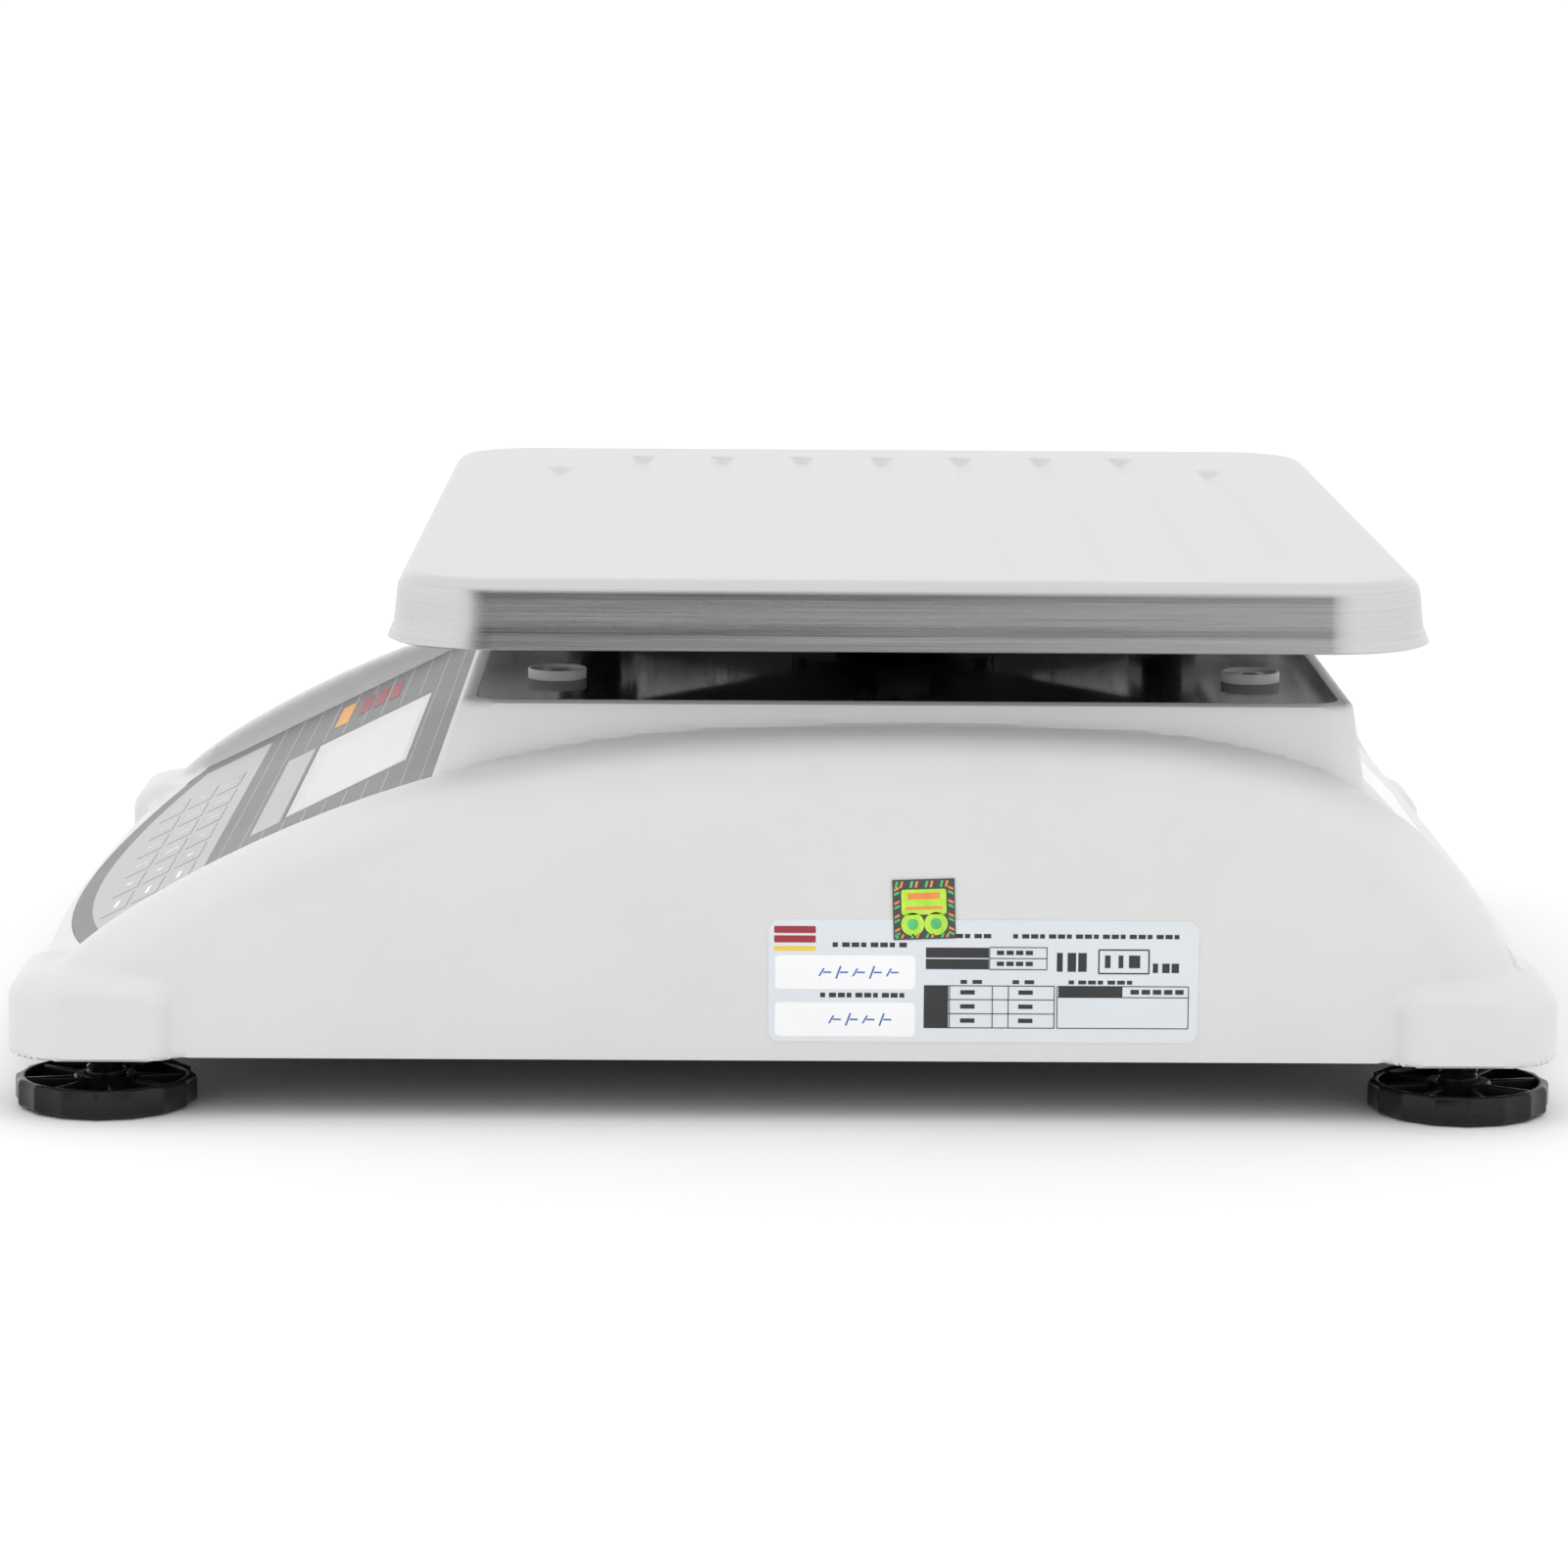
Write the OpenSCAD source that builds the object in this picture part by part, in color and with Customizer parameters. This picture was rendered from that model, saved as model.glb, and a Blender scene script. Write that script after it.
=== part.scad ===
// Retail price scale: a low housing with arched side cheeks, a sloping operator panel with a
// membrane keypad and a display, and a pressed steel pan carried on one load cell.
// +Z is up, the operator stands at -Y, and the origin is on the table at the centre of the footprint.

/* [Housing] */
// Width across the two side cheeks, X
body_w = 330; // [300:5:400]
// Length along the centre line, Y
body_l = 396; // [396:1:480]
// Height of the lower edge of the housing above the table
skirt_z = 15; // [13:0.5:20]
// Height of the raised deck under the pan
deck_z = 103.4; // [102:0.1:106]
// Height of the highest point of the side cheeks
crest_z = 97.8; // [95:0.1:99]
// Thickness of the moulded walls
wall = 2.5; // [2.3:0.1:3.2]
// Thickness of each side cheek where it stands beside the panels
cheek_w = 17; // [15:0.5:22]
// Radius of the rounded outer edge along the arch
cheek_edge_r = 14; // [8:1:16]
// Radius of the bowed front and rear walls, seen from above
bow_r = 1048; // [900:10:1400]
// How far the corner lobes stand out past the cheeks
lobe_out = 5; // [3:0.5:8]
// Width of a corner lobe, X
lobe_w = 45; // [40:1:55]
// Length of a corner lobe, Y
lobe_l = 40; // [36:1:50]
// Height of the top of a corner lobe
lobe_top_z = 36; // [32:1:44]
// Corner radius of a lobe, seen from above
lobe_r = 16; // [8:1:18]

/* [Panels] */
// Slope of the operator panel
panel_angle = 26.3; // [24:0.1:28]
// Height of the upper edge of the operator panel
panel_top_z = 80.2; // [79:0.1:82]
// Plan length of the operator panel
panel_run = 108.5; // [104:0.5:114]
// Slope of the customer panel
rear_angle = 46; // [44:0.5:48]
// Height of the upper edge of the customer panel
rear_top_z = 79.5; // [78:0.5:82]
// Plan length of the customer panel
rear_run = 51; // [48:0.5:54]
// Thickness of the membrane overlay, and depth of its recess
overlay_t = 0.8; // [0.5:0.1:1]
// Length of the overlay down the slope, on the centre line
overlay_l = 116; // [112:0.5:118]
// Radius of the overlay's lower edge
overlay_bow_r = 502; // [460:2:600]
// Width of the display window
window_w = 124; // [100:1:140]
// Length of the display window down the slope
window_l = 36.2; // [30:0.2:38]
// Distance down the slope from the panel's upper edge to the window
window_v = 12.3; // [10:0.1:14]
// Width of the customer's display window
rear_window_w = 110; // [90:1:120]
// Length of the customer's display window down the slope
rear_window_l = 30; // [24:1:34]

/* [Keypad] */
// Number of keys in a row
key_cols = 6; // [4:1:8]
// Number of rows of keys
key_rows = 3; // [2:1:3]
// Distance between key centres along a row
key_pitch_x = 30; // [28:0.5:33]
// Distance between rows of keys
key_pitch_v = 9.2; // [9.2:0.1:10]
// Distance down the slope from the panel's upper edge to the first row
key_v = 78.6; // [78:0.1:80]
// Width of a key
key_w = 24; // [20:0.5:26]
// Length of a key down the slope
key_l = 7.4; // [6:0.1:7.4]
// Travel of a key
key_travel = 0.5; // [0.3:0.1:0.5]

/* [Pan] */
// Length of the pan's top along Y
pan_l = 257; // [230:1:290]
// Width of the pan's top along X
pan_w = 330; // [300:1:340]
// Height of the pan's top
pan_z = 136; // [134:0.5:140]
// Depth of the pan's rim
pan_h = 17; // [14:0.5:20]
// Thickness of the pan's sheet
sheet_t = 1; // [0.8:0.1:1.5]
// Corner radius of the pan
pan_r = 24; // [16:1:32]
// Radius of the pan's top edge
pan_edge_r = 5; // [3:0.5:7]
// How far the rim spreads outwards on each side, from top to bottom
pan_flare = 2.5; // [1:0.5:4]
// Number of pressed grooves
groove_n = 9; // [5:2:9]
// Distance between grooves
groove_pitch = 23.9; // [22:0.1:26]
// Width of a groove
groove_w = 9; // [6:0.5:10]
// Depth of a groove
groove_d = 1.4; // [1:0.1:1.8]
// Half length of the inner grooves
groove_half = 138; // [120:1:142]
// Half length of the two outer grooves
groove_end_half = 106; // [90:1:112]

/* [Weighing mechanism] */
// Length of the load cell
cell_l = 150; // [130:1:160]
// Width of the load cell
cell_w = 25; // [20:1:32]
// Height of the load cell
cell_h = 40; // [30:1:42]
// Radius of the two sensing bores
cell_bore_r = 9; // [6:0.5:11]
// Thickness of the spacer under the fixed end of the load cell
spacer_h = 7; // [5:0.5:9]
// Thickness of the bracket on the free end of the load cell
bracket_t = 6; // [5:0.5:8]
// Diameter of the carrier's column
column_d = 31; // [26:1:36]
// Diameter of the carrier's hub
hub_d = 56; // [48:1:64]
// Height of the underside of the carrier's hub
hub_z = 110.8; // [109:0.1:112]
// Travel of the platform at full load
platform_travel = 0.4; // [0.2:0.1:0.5]
// Distance from the centre line to each pan pad, X
pad_x = 110; // [100:1:114]
// Diameter of a pan pad
pad_d = 12; // [8:0.5:12.5]

/* [Feet] */
// Diameter of a levelling wheel
wheel_d = 46; // [38:1:46]
// Height of the top of a levelling wheel
wheel_top_z = 7.5; // [7:0.1:9]
// Distance from the side of a lobe to the axis of its foot
foot_in_x = 23; // [23:0.5:26]
// Distance from the end of a lobe to the axis of its foot
foot_in_y = 23.5; // [23:0.5:26]
// Diameter of a foot's stud
stud_d = 10; // [8:1:12]
// Thickness of the rubber pad under a wheel
foot_pad_t = 2; // [1.5:0.1:2.5]
// Number of hollows around a wheel's rim
scallops = 16; // [12:2:24]
// Number of spokes in a wheel
spokes = 8; // [5:1:10]

/* [Inside] */
// Thickness of the base plate
base_t = 4; // [3:0.5:5]
// Length of the battery along Y
battery_l = 101; // [80:1:104]
// Width of the battery along X
battery_w = 70; // [50:1:72]
// Height of the battery
battery_h = 47; // [40:1:52]
// Width of the main board
board_w = 80; // [60:1:90]
// Length of the main board
board_l = 120; // [100:1:130]
// Thickness of the circuit boards
board_t = 1.6; // [1:0.1:2]

/* [Clearances] */
// Gap around a piece that drops into a recess
fit_gap = 0.2; // [0.15:0.05:0.3]
// Radial gap of a screw or a shaft in its hole
run_gap = 0.05; // [0.02:0.01:0.08]
// Gap between a key and the overlay around it
key_gap = 0.3; // [0.3:0.05:0.4]
// Least gap between two pieces that move towards each other, at the end of their travel
moving_gap = 0.3; // [0.2:0.05:0.4]

/* [Hidden] */
KEYS = [for (row = [1:key_rows]) for (col = [1:key_cols]) str("key_", row, "_", col)];
CORNERS = ["front_left", "front_right", "rear_left", "rear_right"];
$fn = 48;
BOW_FN = 256;
SOFT_FN = 32;
ARC_STEPS = 5;
EPS = 0.01;
slice_t = 0.3;

// Each arch is a run of tangent arcs from the crest outwards: [radius, sweep].
FRONT_ARCH = [[950, 3.2], [310, 28], [123, 15.7]];
REAR_ARCH = [[1000, 2.8], [205, 11.2], [90, 56.9]];
// Distance from each end of the housing to the end of its arch.
arch_front_in = 9.7;
arch_rear_in = 11.9;

y_front = -body_l / 2;
y_rear = body_l / 2;
x_cheek = body_w / 2;
x_inner = x_cheek - cheek_w;
panel_y = y_front + panel_run;
rear_y = y_rear - rear_run;
plinth_front_lean = 8.1;
plinth_rear_lean = 3.8;
plinth_r = 9;
plinth_edge_r = 2;
plinth_foot_z = panel_top_z - 8;
pan_y = (panel_y + plinth_front_lean + rear_y - plinth_rear_lean) / 2;
base_top_z = skirt_z + base_t;
foot_x = x_cheek + lobe_out - foot_in_x;
foot_y = y_rear - 3 - foot_in_y;
lobe_end = y_rear - 3;
lobe_step = 3;

// Deck
deck_inset = 3.6;
deck_t = 1.2;
deck_r = 7;
column_hole_d = column_d + 15;
collar_d = 15;
collar_bore_d = 8;
collar_h = 2.7;
collar_x = 106;
collar_dy = 89.5;
deck_screw_head_d = 7.4;
deck_screw_d = 5;
deck_screw_l = 16;
deck_boss_d = 11;
vial_d = 16;
vial_h = 4.5;
vial_x = -122;
vial_sink = 3;

// Housing screws, from below
boss_d = 9;
screw_d = 4;
screw_head_d = 7.6;
screw_head_h = 2.2;
screw_l = 20;
BOSSES = [
    for (sx = [-1, 1], sy = [-1, 1]) [sx * (foot_x - 30), sy * (foot_y + 5.5)],
    for (sx = [-1, 1], y = [pan_y - 91, pan_y + 5]) [sx * (x_cheek - cheek_w / 2 - 0.5), y]
];
DECK_SCREWS = [for (sx = [-1, 1], sy = [-1, 1]) [sx * collar_x, pan_y + sy * collar_dy]];
FEET = [for (sy = [-1, 1], sx = [-1, 1]) [sx * foot_x, sy * foot_y]];

// Overlay, window and keys, measured down the slope
overlay_top_v = 0.8;
overlay_side_gap = 0.6;
window_ledge = 2;
lcd_h = 5;
lcd_margin = 4;
key_flange = 0.6;
key_flange_t = wall - overlay_t - key_gap - key_travel - moving_gap;
key_proud = 0.2;
key_slot_gap = 0.5;
keypad_half_w = (key_cols - 1) * key_pitch_x / 2 + key_w / 2 + key_flange + key_slot_gap;
keypad_half_l = (key_rows - 1) * key_pitch_v / 2 + key_l / 2 + key_flange + key_slot_gap;
keypad_mid_v = key_v + (key_rows - 1) * key_pitch_v / 2;
board_margin = 3;
rear_window_v = 14;

// Weighing mechanism, stacked upwards from the base plate
cell_z = base_top_z + spacer_h;
cell_top_z = cell_z + cell_h;
bracket_z = cell_top_z + platform_travel + moving_gap;
cell_front_y = pan_y - cell_l / 2;
cell_rear_y = pan_y + cell_l / 2;
cell_bore_dy = 12;
cell_slot_h = 6;
cell_bolt_d = 6;
cell_bolt_head_d = 10;
cell_bolt_head_h = 2.4;
cell_bolt_deep = 14;
CELL_BOLTS = [9, 29];
spacer_w = cell_w + 15;
spacer_l = 38;
bracket_w = 40;
bracket_bolt_head_h = 6;
column_seat = 22;
arm_w = 14;
arm_top_z = 124;
arm_bottom_z = 113;
cup_d = pad_d + 8;
cup_top_z = 129;
cup_deep = 3;
pad_y = 3.5 * groove_pitch;
pad_top_z = pan_z - sheet_t;

// Feet
wheel_rim_t = 3;
wheel_floor_t = 2;
wheel_hub_d = 16;
spoke_t = 1.6;
scallop_r = 14;
scallop_deep = 0.7;
pivot_d = 6;
pivot_h = 3;
foot_pad_d = wheel_d - 4;
stud_top_z = 28;
insert_d = 16;
insert_h = 15;
foot_boss_d = 22;

// Inside
battery_x = -(board_w / 2 + 65);
battery_y = pan_y + 29;
terminal_w = 6;
terminal_h = 6;
strap_w = 20;
strap_t = 1.2;
strap_foot = 12;
board_x = 28 + board_w / 2;
board_y = pan_y + 10;
board_stand_h = 6;
board_inset = 5;
stand_d = 8;
board_z = base_top_z + board_stand_h;
chip_t = 3;
board_screw_d = 3;
board_screw_head_h = 1.6;
board_screw_deep = 4;

// Power inlet and switch, on the -X cheek
socket_y = pan_y + 99;
socket_z = 42;
socket_w = 27;
socket_h = 19;
socket_deep = 17;
socket_flange = 3;
socket_flange_t = 1.6;
pin_r = 2;
switch_y = socket_y - 34;
switch_z = 42;
switch_w = 15;
switch_h = 21;
switch_deep = 13;
switch_frame_t = 1.6;
rocker_gap = 0.4;
rocker_r = 9.5;
rocker_t = 9;
rocker_sink = 4.2;
axle_d = 3;

// Cables
cable_d = 4;
cable_bend_swell = 0.4;
connector = [12, 20, 9];
cable_z = cell_z + 16;
ribbon_w = 24;
ribbon_t = 0.6;

// Labels on the +X cheek
label_t = 0.2;
label_y = [-4, 103.4];
label_z = [20.3, 51.4];
label_r = 3;
seal_y = 34.7;
seal_z = 54.1;
seal_w = 15.5;
seal_h = 15.2;
seal_tilt = 2;

// Points along tangent arcs that fall away from a level start, towards way (-1 or 1) along Y.
function fall(start, way, arcs, inset, turned = 0, i = 0) =
    i == len(arcs) ? [] :
    let (
        r = arcs[i][0] - inset,
        sweep = arcs[i][1],
        run = [for (k = [1:ARC_STEPS])
            let (a = turned + sweep * k / ARC_STEPS)
            [start[0] + way * r * (sin(a) - sin(turned)), start[1] - r * (cos(turned) - cos(a))]]
    )
    concat(run, fall(run[len(run) - 1], way, arcs, inset, turned + sweep, i + 1));

function reach(arcs, i = 0, turned = 0) =
    i == len(arcs) ? 0 :
    arcs[i][0] * (sin(turned + arcs[i][1]) - sin(turned)) + reach(arcs, i + 1, turned + arcs[i][1]);

function reversed(list) = [for (i = [len(list) - 1:-1:0]) list[i]];

function last(list) = list[len(list) - 1];

// Side view of the arch as [y, z] points, with its curved edge moved inwards by inset.
function arch(inset, low_z) =
    let (
        top = crest_z - inset,
        front_start = [y_front + arch_front_in + reach(FRONT_ARCH), top],
        rear_start = [y_rear - arch_rear_in - reach(REAR_ARCH), top],
        front = concat([front_start], fall(front_start, -1, FRONT_ARCH, inset)),
        rear = concat([rear_start], fall(rear_start, 1, REAR_ARCH, inset))
    )
    concat(front, [[last(front)[0], low_z], [last(rear)[0], low_z]], reversed(rear));

// Runs the child profile, drawn as [y, z], along X between two planes.
module side_extrude(x0, x1) {
    translate([x0, 0, 0])
        rotate([90, 0, 90])
            linear_extrude(x1 - x0)
                children();
}

module rounded_rect(w, l, r) {
    square([w - 2 * r, l], center = true);
    square([w, l - 2 * r], center = true);
    for (sx = [-1, 1], sy = [-1, 1])
        translate([sx * (w / 2 - r), sy * (l / 2 - r)])
            circle(r);
}

module slab(w, l, r, z0, z1) {
    translate([0, 0, z0])
        linear_extrude(z1 - z0)
            rounded_rect(w, l, r);
}

module on_panel() {
    translate([0, panel_y, panel_top_z])
        rotate([panel_angle, 0, 0])
            children();
}

module on_rear_panel() {
    translate([0, rear_y, rear_top_z])
        rotate([-rear_angle, 0, 0])
            children();
}

// Plan of the body between the bowed front and rear walls.
module bowed_plan(inset) {
    intersection() {
        translate([0, y_front + bow_r])
            circle(bow_r - inset, $fn = BOW_FN);
        translate([0, y_rear - bow_r])
            circle(bow_r - inset, $fn = BOW_FN);
        square([body_w - 2 * inset, body_l - 2 * inset], center = true);
    }
}

module lobe_plan(inset) {
    w = lobe_w - 2 * inset;
    l = lobe_l - 2 * inset;
    for (sx = [-1, 1], sy = [-1, 1])
        translate([sx * (x_cheek + lobe_out - lobe_w / 2), sy * (lobe_end - lobe_l / 2)])
            rounded_rect(w, l, lobe_r - inset);
}

// Side view of the body between the cheeks.
module wedge_profile(inset, low_z) {
    front_drop = panel_run * tan(panel_angle);
    rear_drop = rear_run * tan(rear_angle);
    front_sink = inset / cos(panel_angle);
    rear_sink = inset / cos(rear_angle);
    polygon([
        [y_front, low_z],
        [y_front, panel_top_z - front_drop - front_sink],
        [panel_y, panel_top_z - front_sink],
        [rear_y, rear_top_z - rear_sink],
        [y_rear, rear_top_z - rear_drop - rear_sink],
        [y_rear, low_z]
    ]);
}

module cheek(inset, low_z) {
    edge_r = cheek_edge_r - inset;
    x_in = x_inner + inset;
    hull() {
        side_extrude(x_in, x_in + slice_t)
            polygon(arch(inset, low_z));
        for (k = [0:3])
            let (a = k * 30, x = x_cheek - inset - edge_r * (1 - sin(a)))
            side_extrude(x - slice_t, x)
                polygon(arch(inset + edge_r * (1 - cos(a)), low_z));
    }
}

// The raised block under the deck; its foot lies inside the body, where its leaning walls run on.
module plinth(inset) {
    $fn = SOFT_FN;
    run_on = (panel_top_z - plinth_foot_z) / (deck_z - panel_top_z);
    foot_front_y = panel_y + inset - plinth_front_lean * run_on;
    foot_back_y = rear_y - inset + plinth_rear_lean * run_on;
    top_front_y = panel_y + inset + plinth_front_lean;
    top_back_y = rear_y - inset - plinth_rear_lean;
    top_l = top_back_y - top_front_y;
    w = 2 * (x_inner - inset);
    top_z = deck_z - inset;
    hull() {
        translate([0, (foot_front_y + foot_back_y) / 2, 0])
            slab(w, foot_back_y - foot_front_y, plinth_r, plinth_foot_z, plinth_foot_z + slice_t);
        translate([0, (top_front_y + top_back_y) / 2, 0]) {
            slab(w, top_l, plinth_r, top_z - plinth_edge_r - slice_t, top_z - plinth_edge_r);
            slab(w - 2 * plinth_edge_r, top_l - 2 * plinth_edge_r, plinth_r - plinth_edge_r,
                top_z - slice_t, top_z);
        }
    }
}

// The outer form of the housing, or with an inset the space inside its walls.
module housing_form(inset, low_z) {
    join_x = x_inner + inset + 1;
    intersection() {
        translate([0, 0, low_z])
            linear_extrude(deck_z)
                bowed_plan(inset);
        union() {
            side_extrude(-join_x, join_x)
                wedge_profile(inset, low_z);
            cheek(inset, low_z);
            mirror([1, 0, 0])
                cheek(inset, low_z);
        }
    }
    plinth(inset);
    translate([0, 0, low_z])
        linear_extrude(lobe_top_z - lobe_step - inset - low_z)
            lobe_plan(inset);
    translate([0, 0, low_z])
        linear_extrude(lobe_top_z - inset - low_z)
            lobe_plan(inset + lobe_step);
}

module at_bosses() {
    for (p = BOSSES)
        translate([p[0], p[1], 0])
            children();
}

module overlay_plan(gap) {
    intersection() {
        translate([0, -overlay_l + overlay_bow_r])
            circle(overlay_bow_r + gap, $fn = BOW_FN);
        translate([-(x_inner - overlay_side_gap + gap), -overlay_l - gap])
            square([2 * (x_inner - overlay_side_gap + gap), overlay_l - overlay_top_v + 2 * gap]);
    }
}

module window_plan(gap) {
    translate([0, -window_v - window_l / 2])
        square([window_w + 2 * gap, window_l + 2 * gap], center = true);
}

module rear_window_plan(gap) {
    translate([0, rear_window_v + rear_window_l / 2])
        square([rear_window_w + 2 * gap, rear_window_l + 2 * gap], center = true);
}

module key_plan(row, col, gap) {
    translate([(col - (key_cols + 1) / 2) * key_pitch_x, -key_v - (row - 1) * key_pitch_v])
        square([key_w + 2 * gap, key_l + 2 * gap], center = true);
}

module housing_cuts() {
    slab_top = deck_z + 1;
    translate([0, pan_y, 0])
        slab(deck_w() + 2 * fit_gap, deck_len() + 2 * fit_gap, deck_r + fit_gap, deck_z - deck_t, slab_top);
    translate([0, pan_y, deck_z - wall - deck_t - 1])
        cylinder(d = column_hole_d, h = wall + deck_t + 2);
    for (p = DECK_SCREWS)
        translate([p[0], p[1], deck_z - deck_screw_l - 1])
            cylinder(d = deck_screw_d + 2 * run_gap, h = deck_screw_l + 2);
    translate([vial_x, pan_y, deck_z - vial_sink])
        cylinder(d = vial_d + 2 * fit_gap, h = vial_sink + 1);
    at_bosses()
        translate([0, 0, base_top_z - 1])
            cylinder(d = screw_d + 2 * run_gap, h = screw_l);
    on_panel() {
        translate([0, 0, -overlay_t])
            linear_extrude(overlay_t + 2)
                overlay_plan(fit_gap);
        translate([0, 0, -wall - 2])
            linear_extrude(wall + 4)
                window_plan(-window_ledge);
        translate([-keypad_half_w, -keypad_mid_v - keypad_half_l, -wall - 2])
            cube([2 * keypad_half_w, 2 * keypad_half_l, wall + 4]);
    }
    on_rear_panel() {
        translate([0, 0, -overlay_t])
            linear_extrude(overlay_t + 2)
                rear_window_plan(fit_gap);
        translate([0, 0, -wall - 2])
            linear_extrude(wall + 4)
                rear_window_plan(-window_ledge);
    }
    translate([-x_cheek - 1, socket_y - socket_w / 2 - fit_gap, socket_z - socket_h / 2 - fit_gap])
        cube([wall + 2, socket_w + 2 * fit_gap, socket_h + 2 * fit_gap]);
    translate([-x_cheek - 1, switch_y - switch_w / 2 - fit_gap, switch_z - switch_h / 2 - fit_gap])
        cube([wall + 2, switch_w + 2 * fit_gap, switch_h + 2 * fit_gap]);
}

function deck_w() = 2 * (x_inner - deck_inset);

function deck_len() =
    rear_y - plinth_rear_lean - panel_y - plinth_front_lean - 2 * deck_inset;

module upper_housing() {
    color("gainsboro")
        difference() {
            housing_form(0, skirt_z);
            difference() {
                housing_form(wall, skirt_z - 1);
                at_bosses()
                    translate([0, 0, base_top_z])
                        cylinder(d = boss_d, h = crest_z);
                for (p = DECK_SCREWS)
                    translate([p[0], p[1], deck_z - deck_screw_l])
                        cylinder(d = deck_boss_d, h = deck_screw_l);
                translate([vial_x, pan_y, deck_z - vial_sink - wall])
                    cylinder(d = vial_d + 2 * wall, h = vial_sink + wall);
            }
            housing_cuts();
        }
}

module base_plate() {
    edge = wall + fit_gap;
    color("dimgray")
        difference() {
            union() {
                translate([0, 0, skirt_z])
                    linear_extrude(base_t) {
                        bowed_plan(edge);
                        lobe_plan(edge);
                    }
                for (p = FEET)
                    translate([p[0], p[1], skirt_z])
                        cylinder(d = foot_boss_d, h = insert_h);
                for (p = BOARD_CORNERS())
                    translate([p[0], p[1], skirt_z])
                        cylinder(d = stand_d, h = base_t + board_stand_h);
            }
            for (p = FEET)
                translate([p[0], p[1], skirt_z - 1])
                    cylinder(d = insert_d + 2 * run_gap, h = insert_h + 2);
            at_bosses() {
                translate([0, 0, skirt_z - 1])
                    cylinder(d = screw_d + 2 * run_gap, h = base_t + 2);
                translate([0, 0, skirt_z - 1])
                    cylinder(d = screw_head_d + 2 * fit_gap, h = screw_head_h + 1);
            }
            for (y = CELL_BOLTS)
                translate([0, cell_rear_y - y, skirt_z - 1]) {
                    cylinder(d = cell_bolt_d + 2 * run_gap, h = base_t + 2);
                    cylinder(d = cell_bolt_head_d + 2 * fit_gap, h = cell_bolt_head_h + 1);
                }
            for (p = BOARD_CORNERS())
                translate([p[0], p[1], board_z - board_screw_deep])
                    cylinder(d = board_screw_d + 2 * run_gap, h = board_screw_deep + 1);
        }
}

function BOARD_CORNERS() = [
    for (sx = [-1, 1], sy = [-1, 1])
        [board_x + sx * (board_w / 2 - board_inset), board_y + sy * (board_l / 2 - board_inset)]
];

module deck_plate() {
    color("#1c1d20")
        difference() {
            translate([0, pan_y, 0])
                slab(deck_w(), deck_len(), deck_r, deck_z - deck_t, deck_z);
            translate([0, pan_y, deck_z - deck_t - 1])
                cylinder(d = column_hole_d, h = deck_t + 2);
            for (p = DECK_SCREWS)
                translate([p[0], p[1], deck_z - deck_t - 1])
                    cylinder(d = deck_screw_d + 2 * run_gap, h = deck_t + 2);
            translate([vial_x, pan_y, deck_z - deck_t - 1])
                cylinder(d = vial_d + 2 * fit_gap, h = deck_t + 2);
        }
}

module deck_collars() {
    color("lightgray")
        for (p = DECK_SCREWS)
            translate([p[0], p[1], deck_z])
                difference() {
                    cylinder(d = collar_d, h = collar_h);
                    translate([0, 0, -1])
                        cylinder(d = collar_bore_d, h = collar_h + 2);
                }
}

// A cap screw, its head standing on z = 0 and its shank below.
module cap_screw(d, head_d, head_h, length) {
    difference() {
        cylinder(d = head_d, h = head_h);
        translate([0, 0, head_h / 2])
            cylinder(d = d * 0.9, h = head_h, $fn = 6);
    }
    translate([0, 0, -length])
        cylinder(d = d, h = length + EPS);
}

module deck_screws() {
    color("silver")
        for (p = DECK_SCREWS)
            translate([p[0], p[1], deck_z])
                cap_screw(deck_screw_d, deck_screw_head_d, collar_h - 0.7, deck_screw_l - 1);
}

module level_vial() {
    color("palegreen")
        translate([vial_x, pan_y, deck_z - vial_sink])
            cylinder(d = vial_d, h = vial_h);
}

module keypad_overlay() {
    color("darkgray")
        on_panel()
            translate([0, 0, -overlay_t])
                linear_extrude(overlay_t)
                    difference() {
                        overlay_plan(0);
                        window_plan(fit_gap);
                        for (row = [1:key_rows], col = [1:key_cols])
                            key_plan(row, col, key_gap);
                    }
}

module keypad_board() {
    color("seagreen")
        on_panel()
            translate([-keypad_half_w - board_margin, -keypad_mid_v - keypad_half_l - board_margin, -wall - board_t])
                cube([2 * (keypad_half_w + board_margin), 2 * (keypad_half_l + board_margin), board_t]);
}

module key(row, col) {
    flange_top = -overlay_t - key_gap;
    color("lightgray")
        on_panel() {
            translate([0, 0, flange_top - key_flange_t])
                linear_extrude(key_flange_t)
                    key_plan(row, col, key_flange);
            translate([0, 0, flange_top - EPS])
                linear_extrude(key_proud - flange_top + EPS)
                    key_plan(row, col, 0);
        }
}

module display_window() {
    color("lightcyan")
        on_panel()
            translate([0, 0, -overlay_t])
                linear_extrude(overlay_t)
                    window_plan(0);
}

module lcd_module() {
    color("slategray")
        on_panel()
            translate([0, 0, -wall - lcd_h])
                linear_extrude(lcd_h)
                    window_plan(lcd_margin);
}

module display_board() {
    color("seagreen")
        on_panel()
            translate([0, 0, -wall - lcd_h - board_t])
                linear_extrude(board_t)
                    window_plan(lcd_margin + board_margin);
}

module rear_window() {
    color("lightcyan")
        on_rear_panel()
            translate([0, 0, -overlay_t])
                linear_extrude(overlay_t)
                    rear_window_plan(0);
}

module rear_lcd_module() {
    color("slategray")
        on_rear_panel()
            translate([0, 0, -wall - lcd_h])
                linear_extrude(lcd_h)
                    rear_window_plan(lcd_margin);
}

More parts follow.
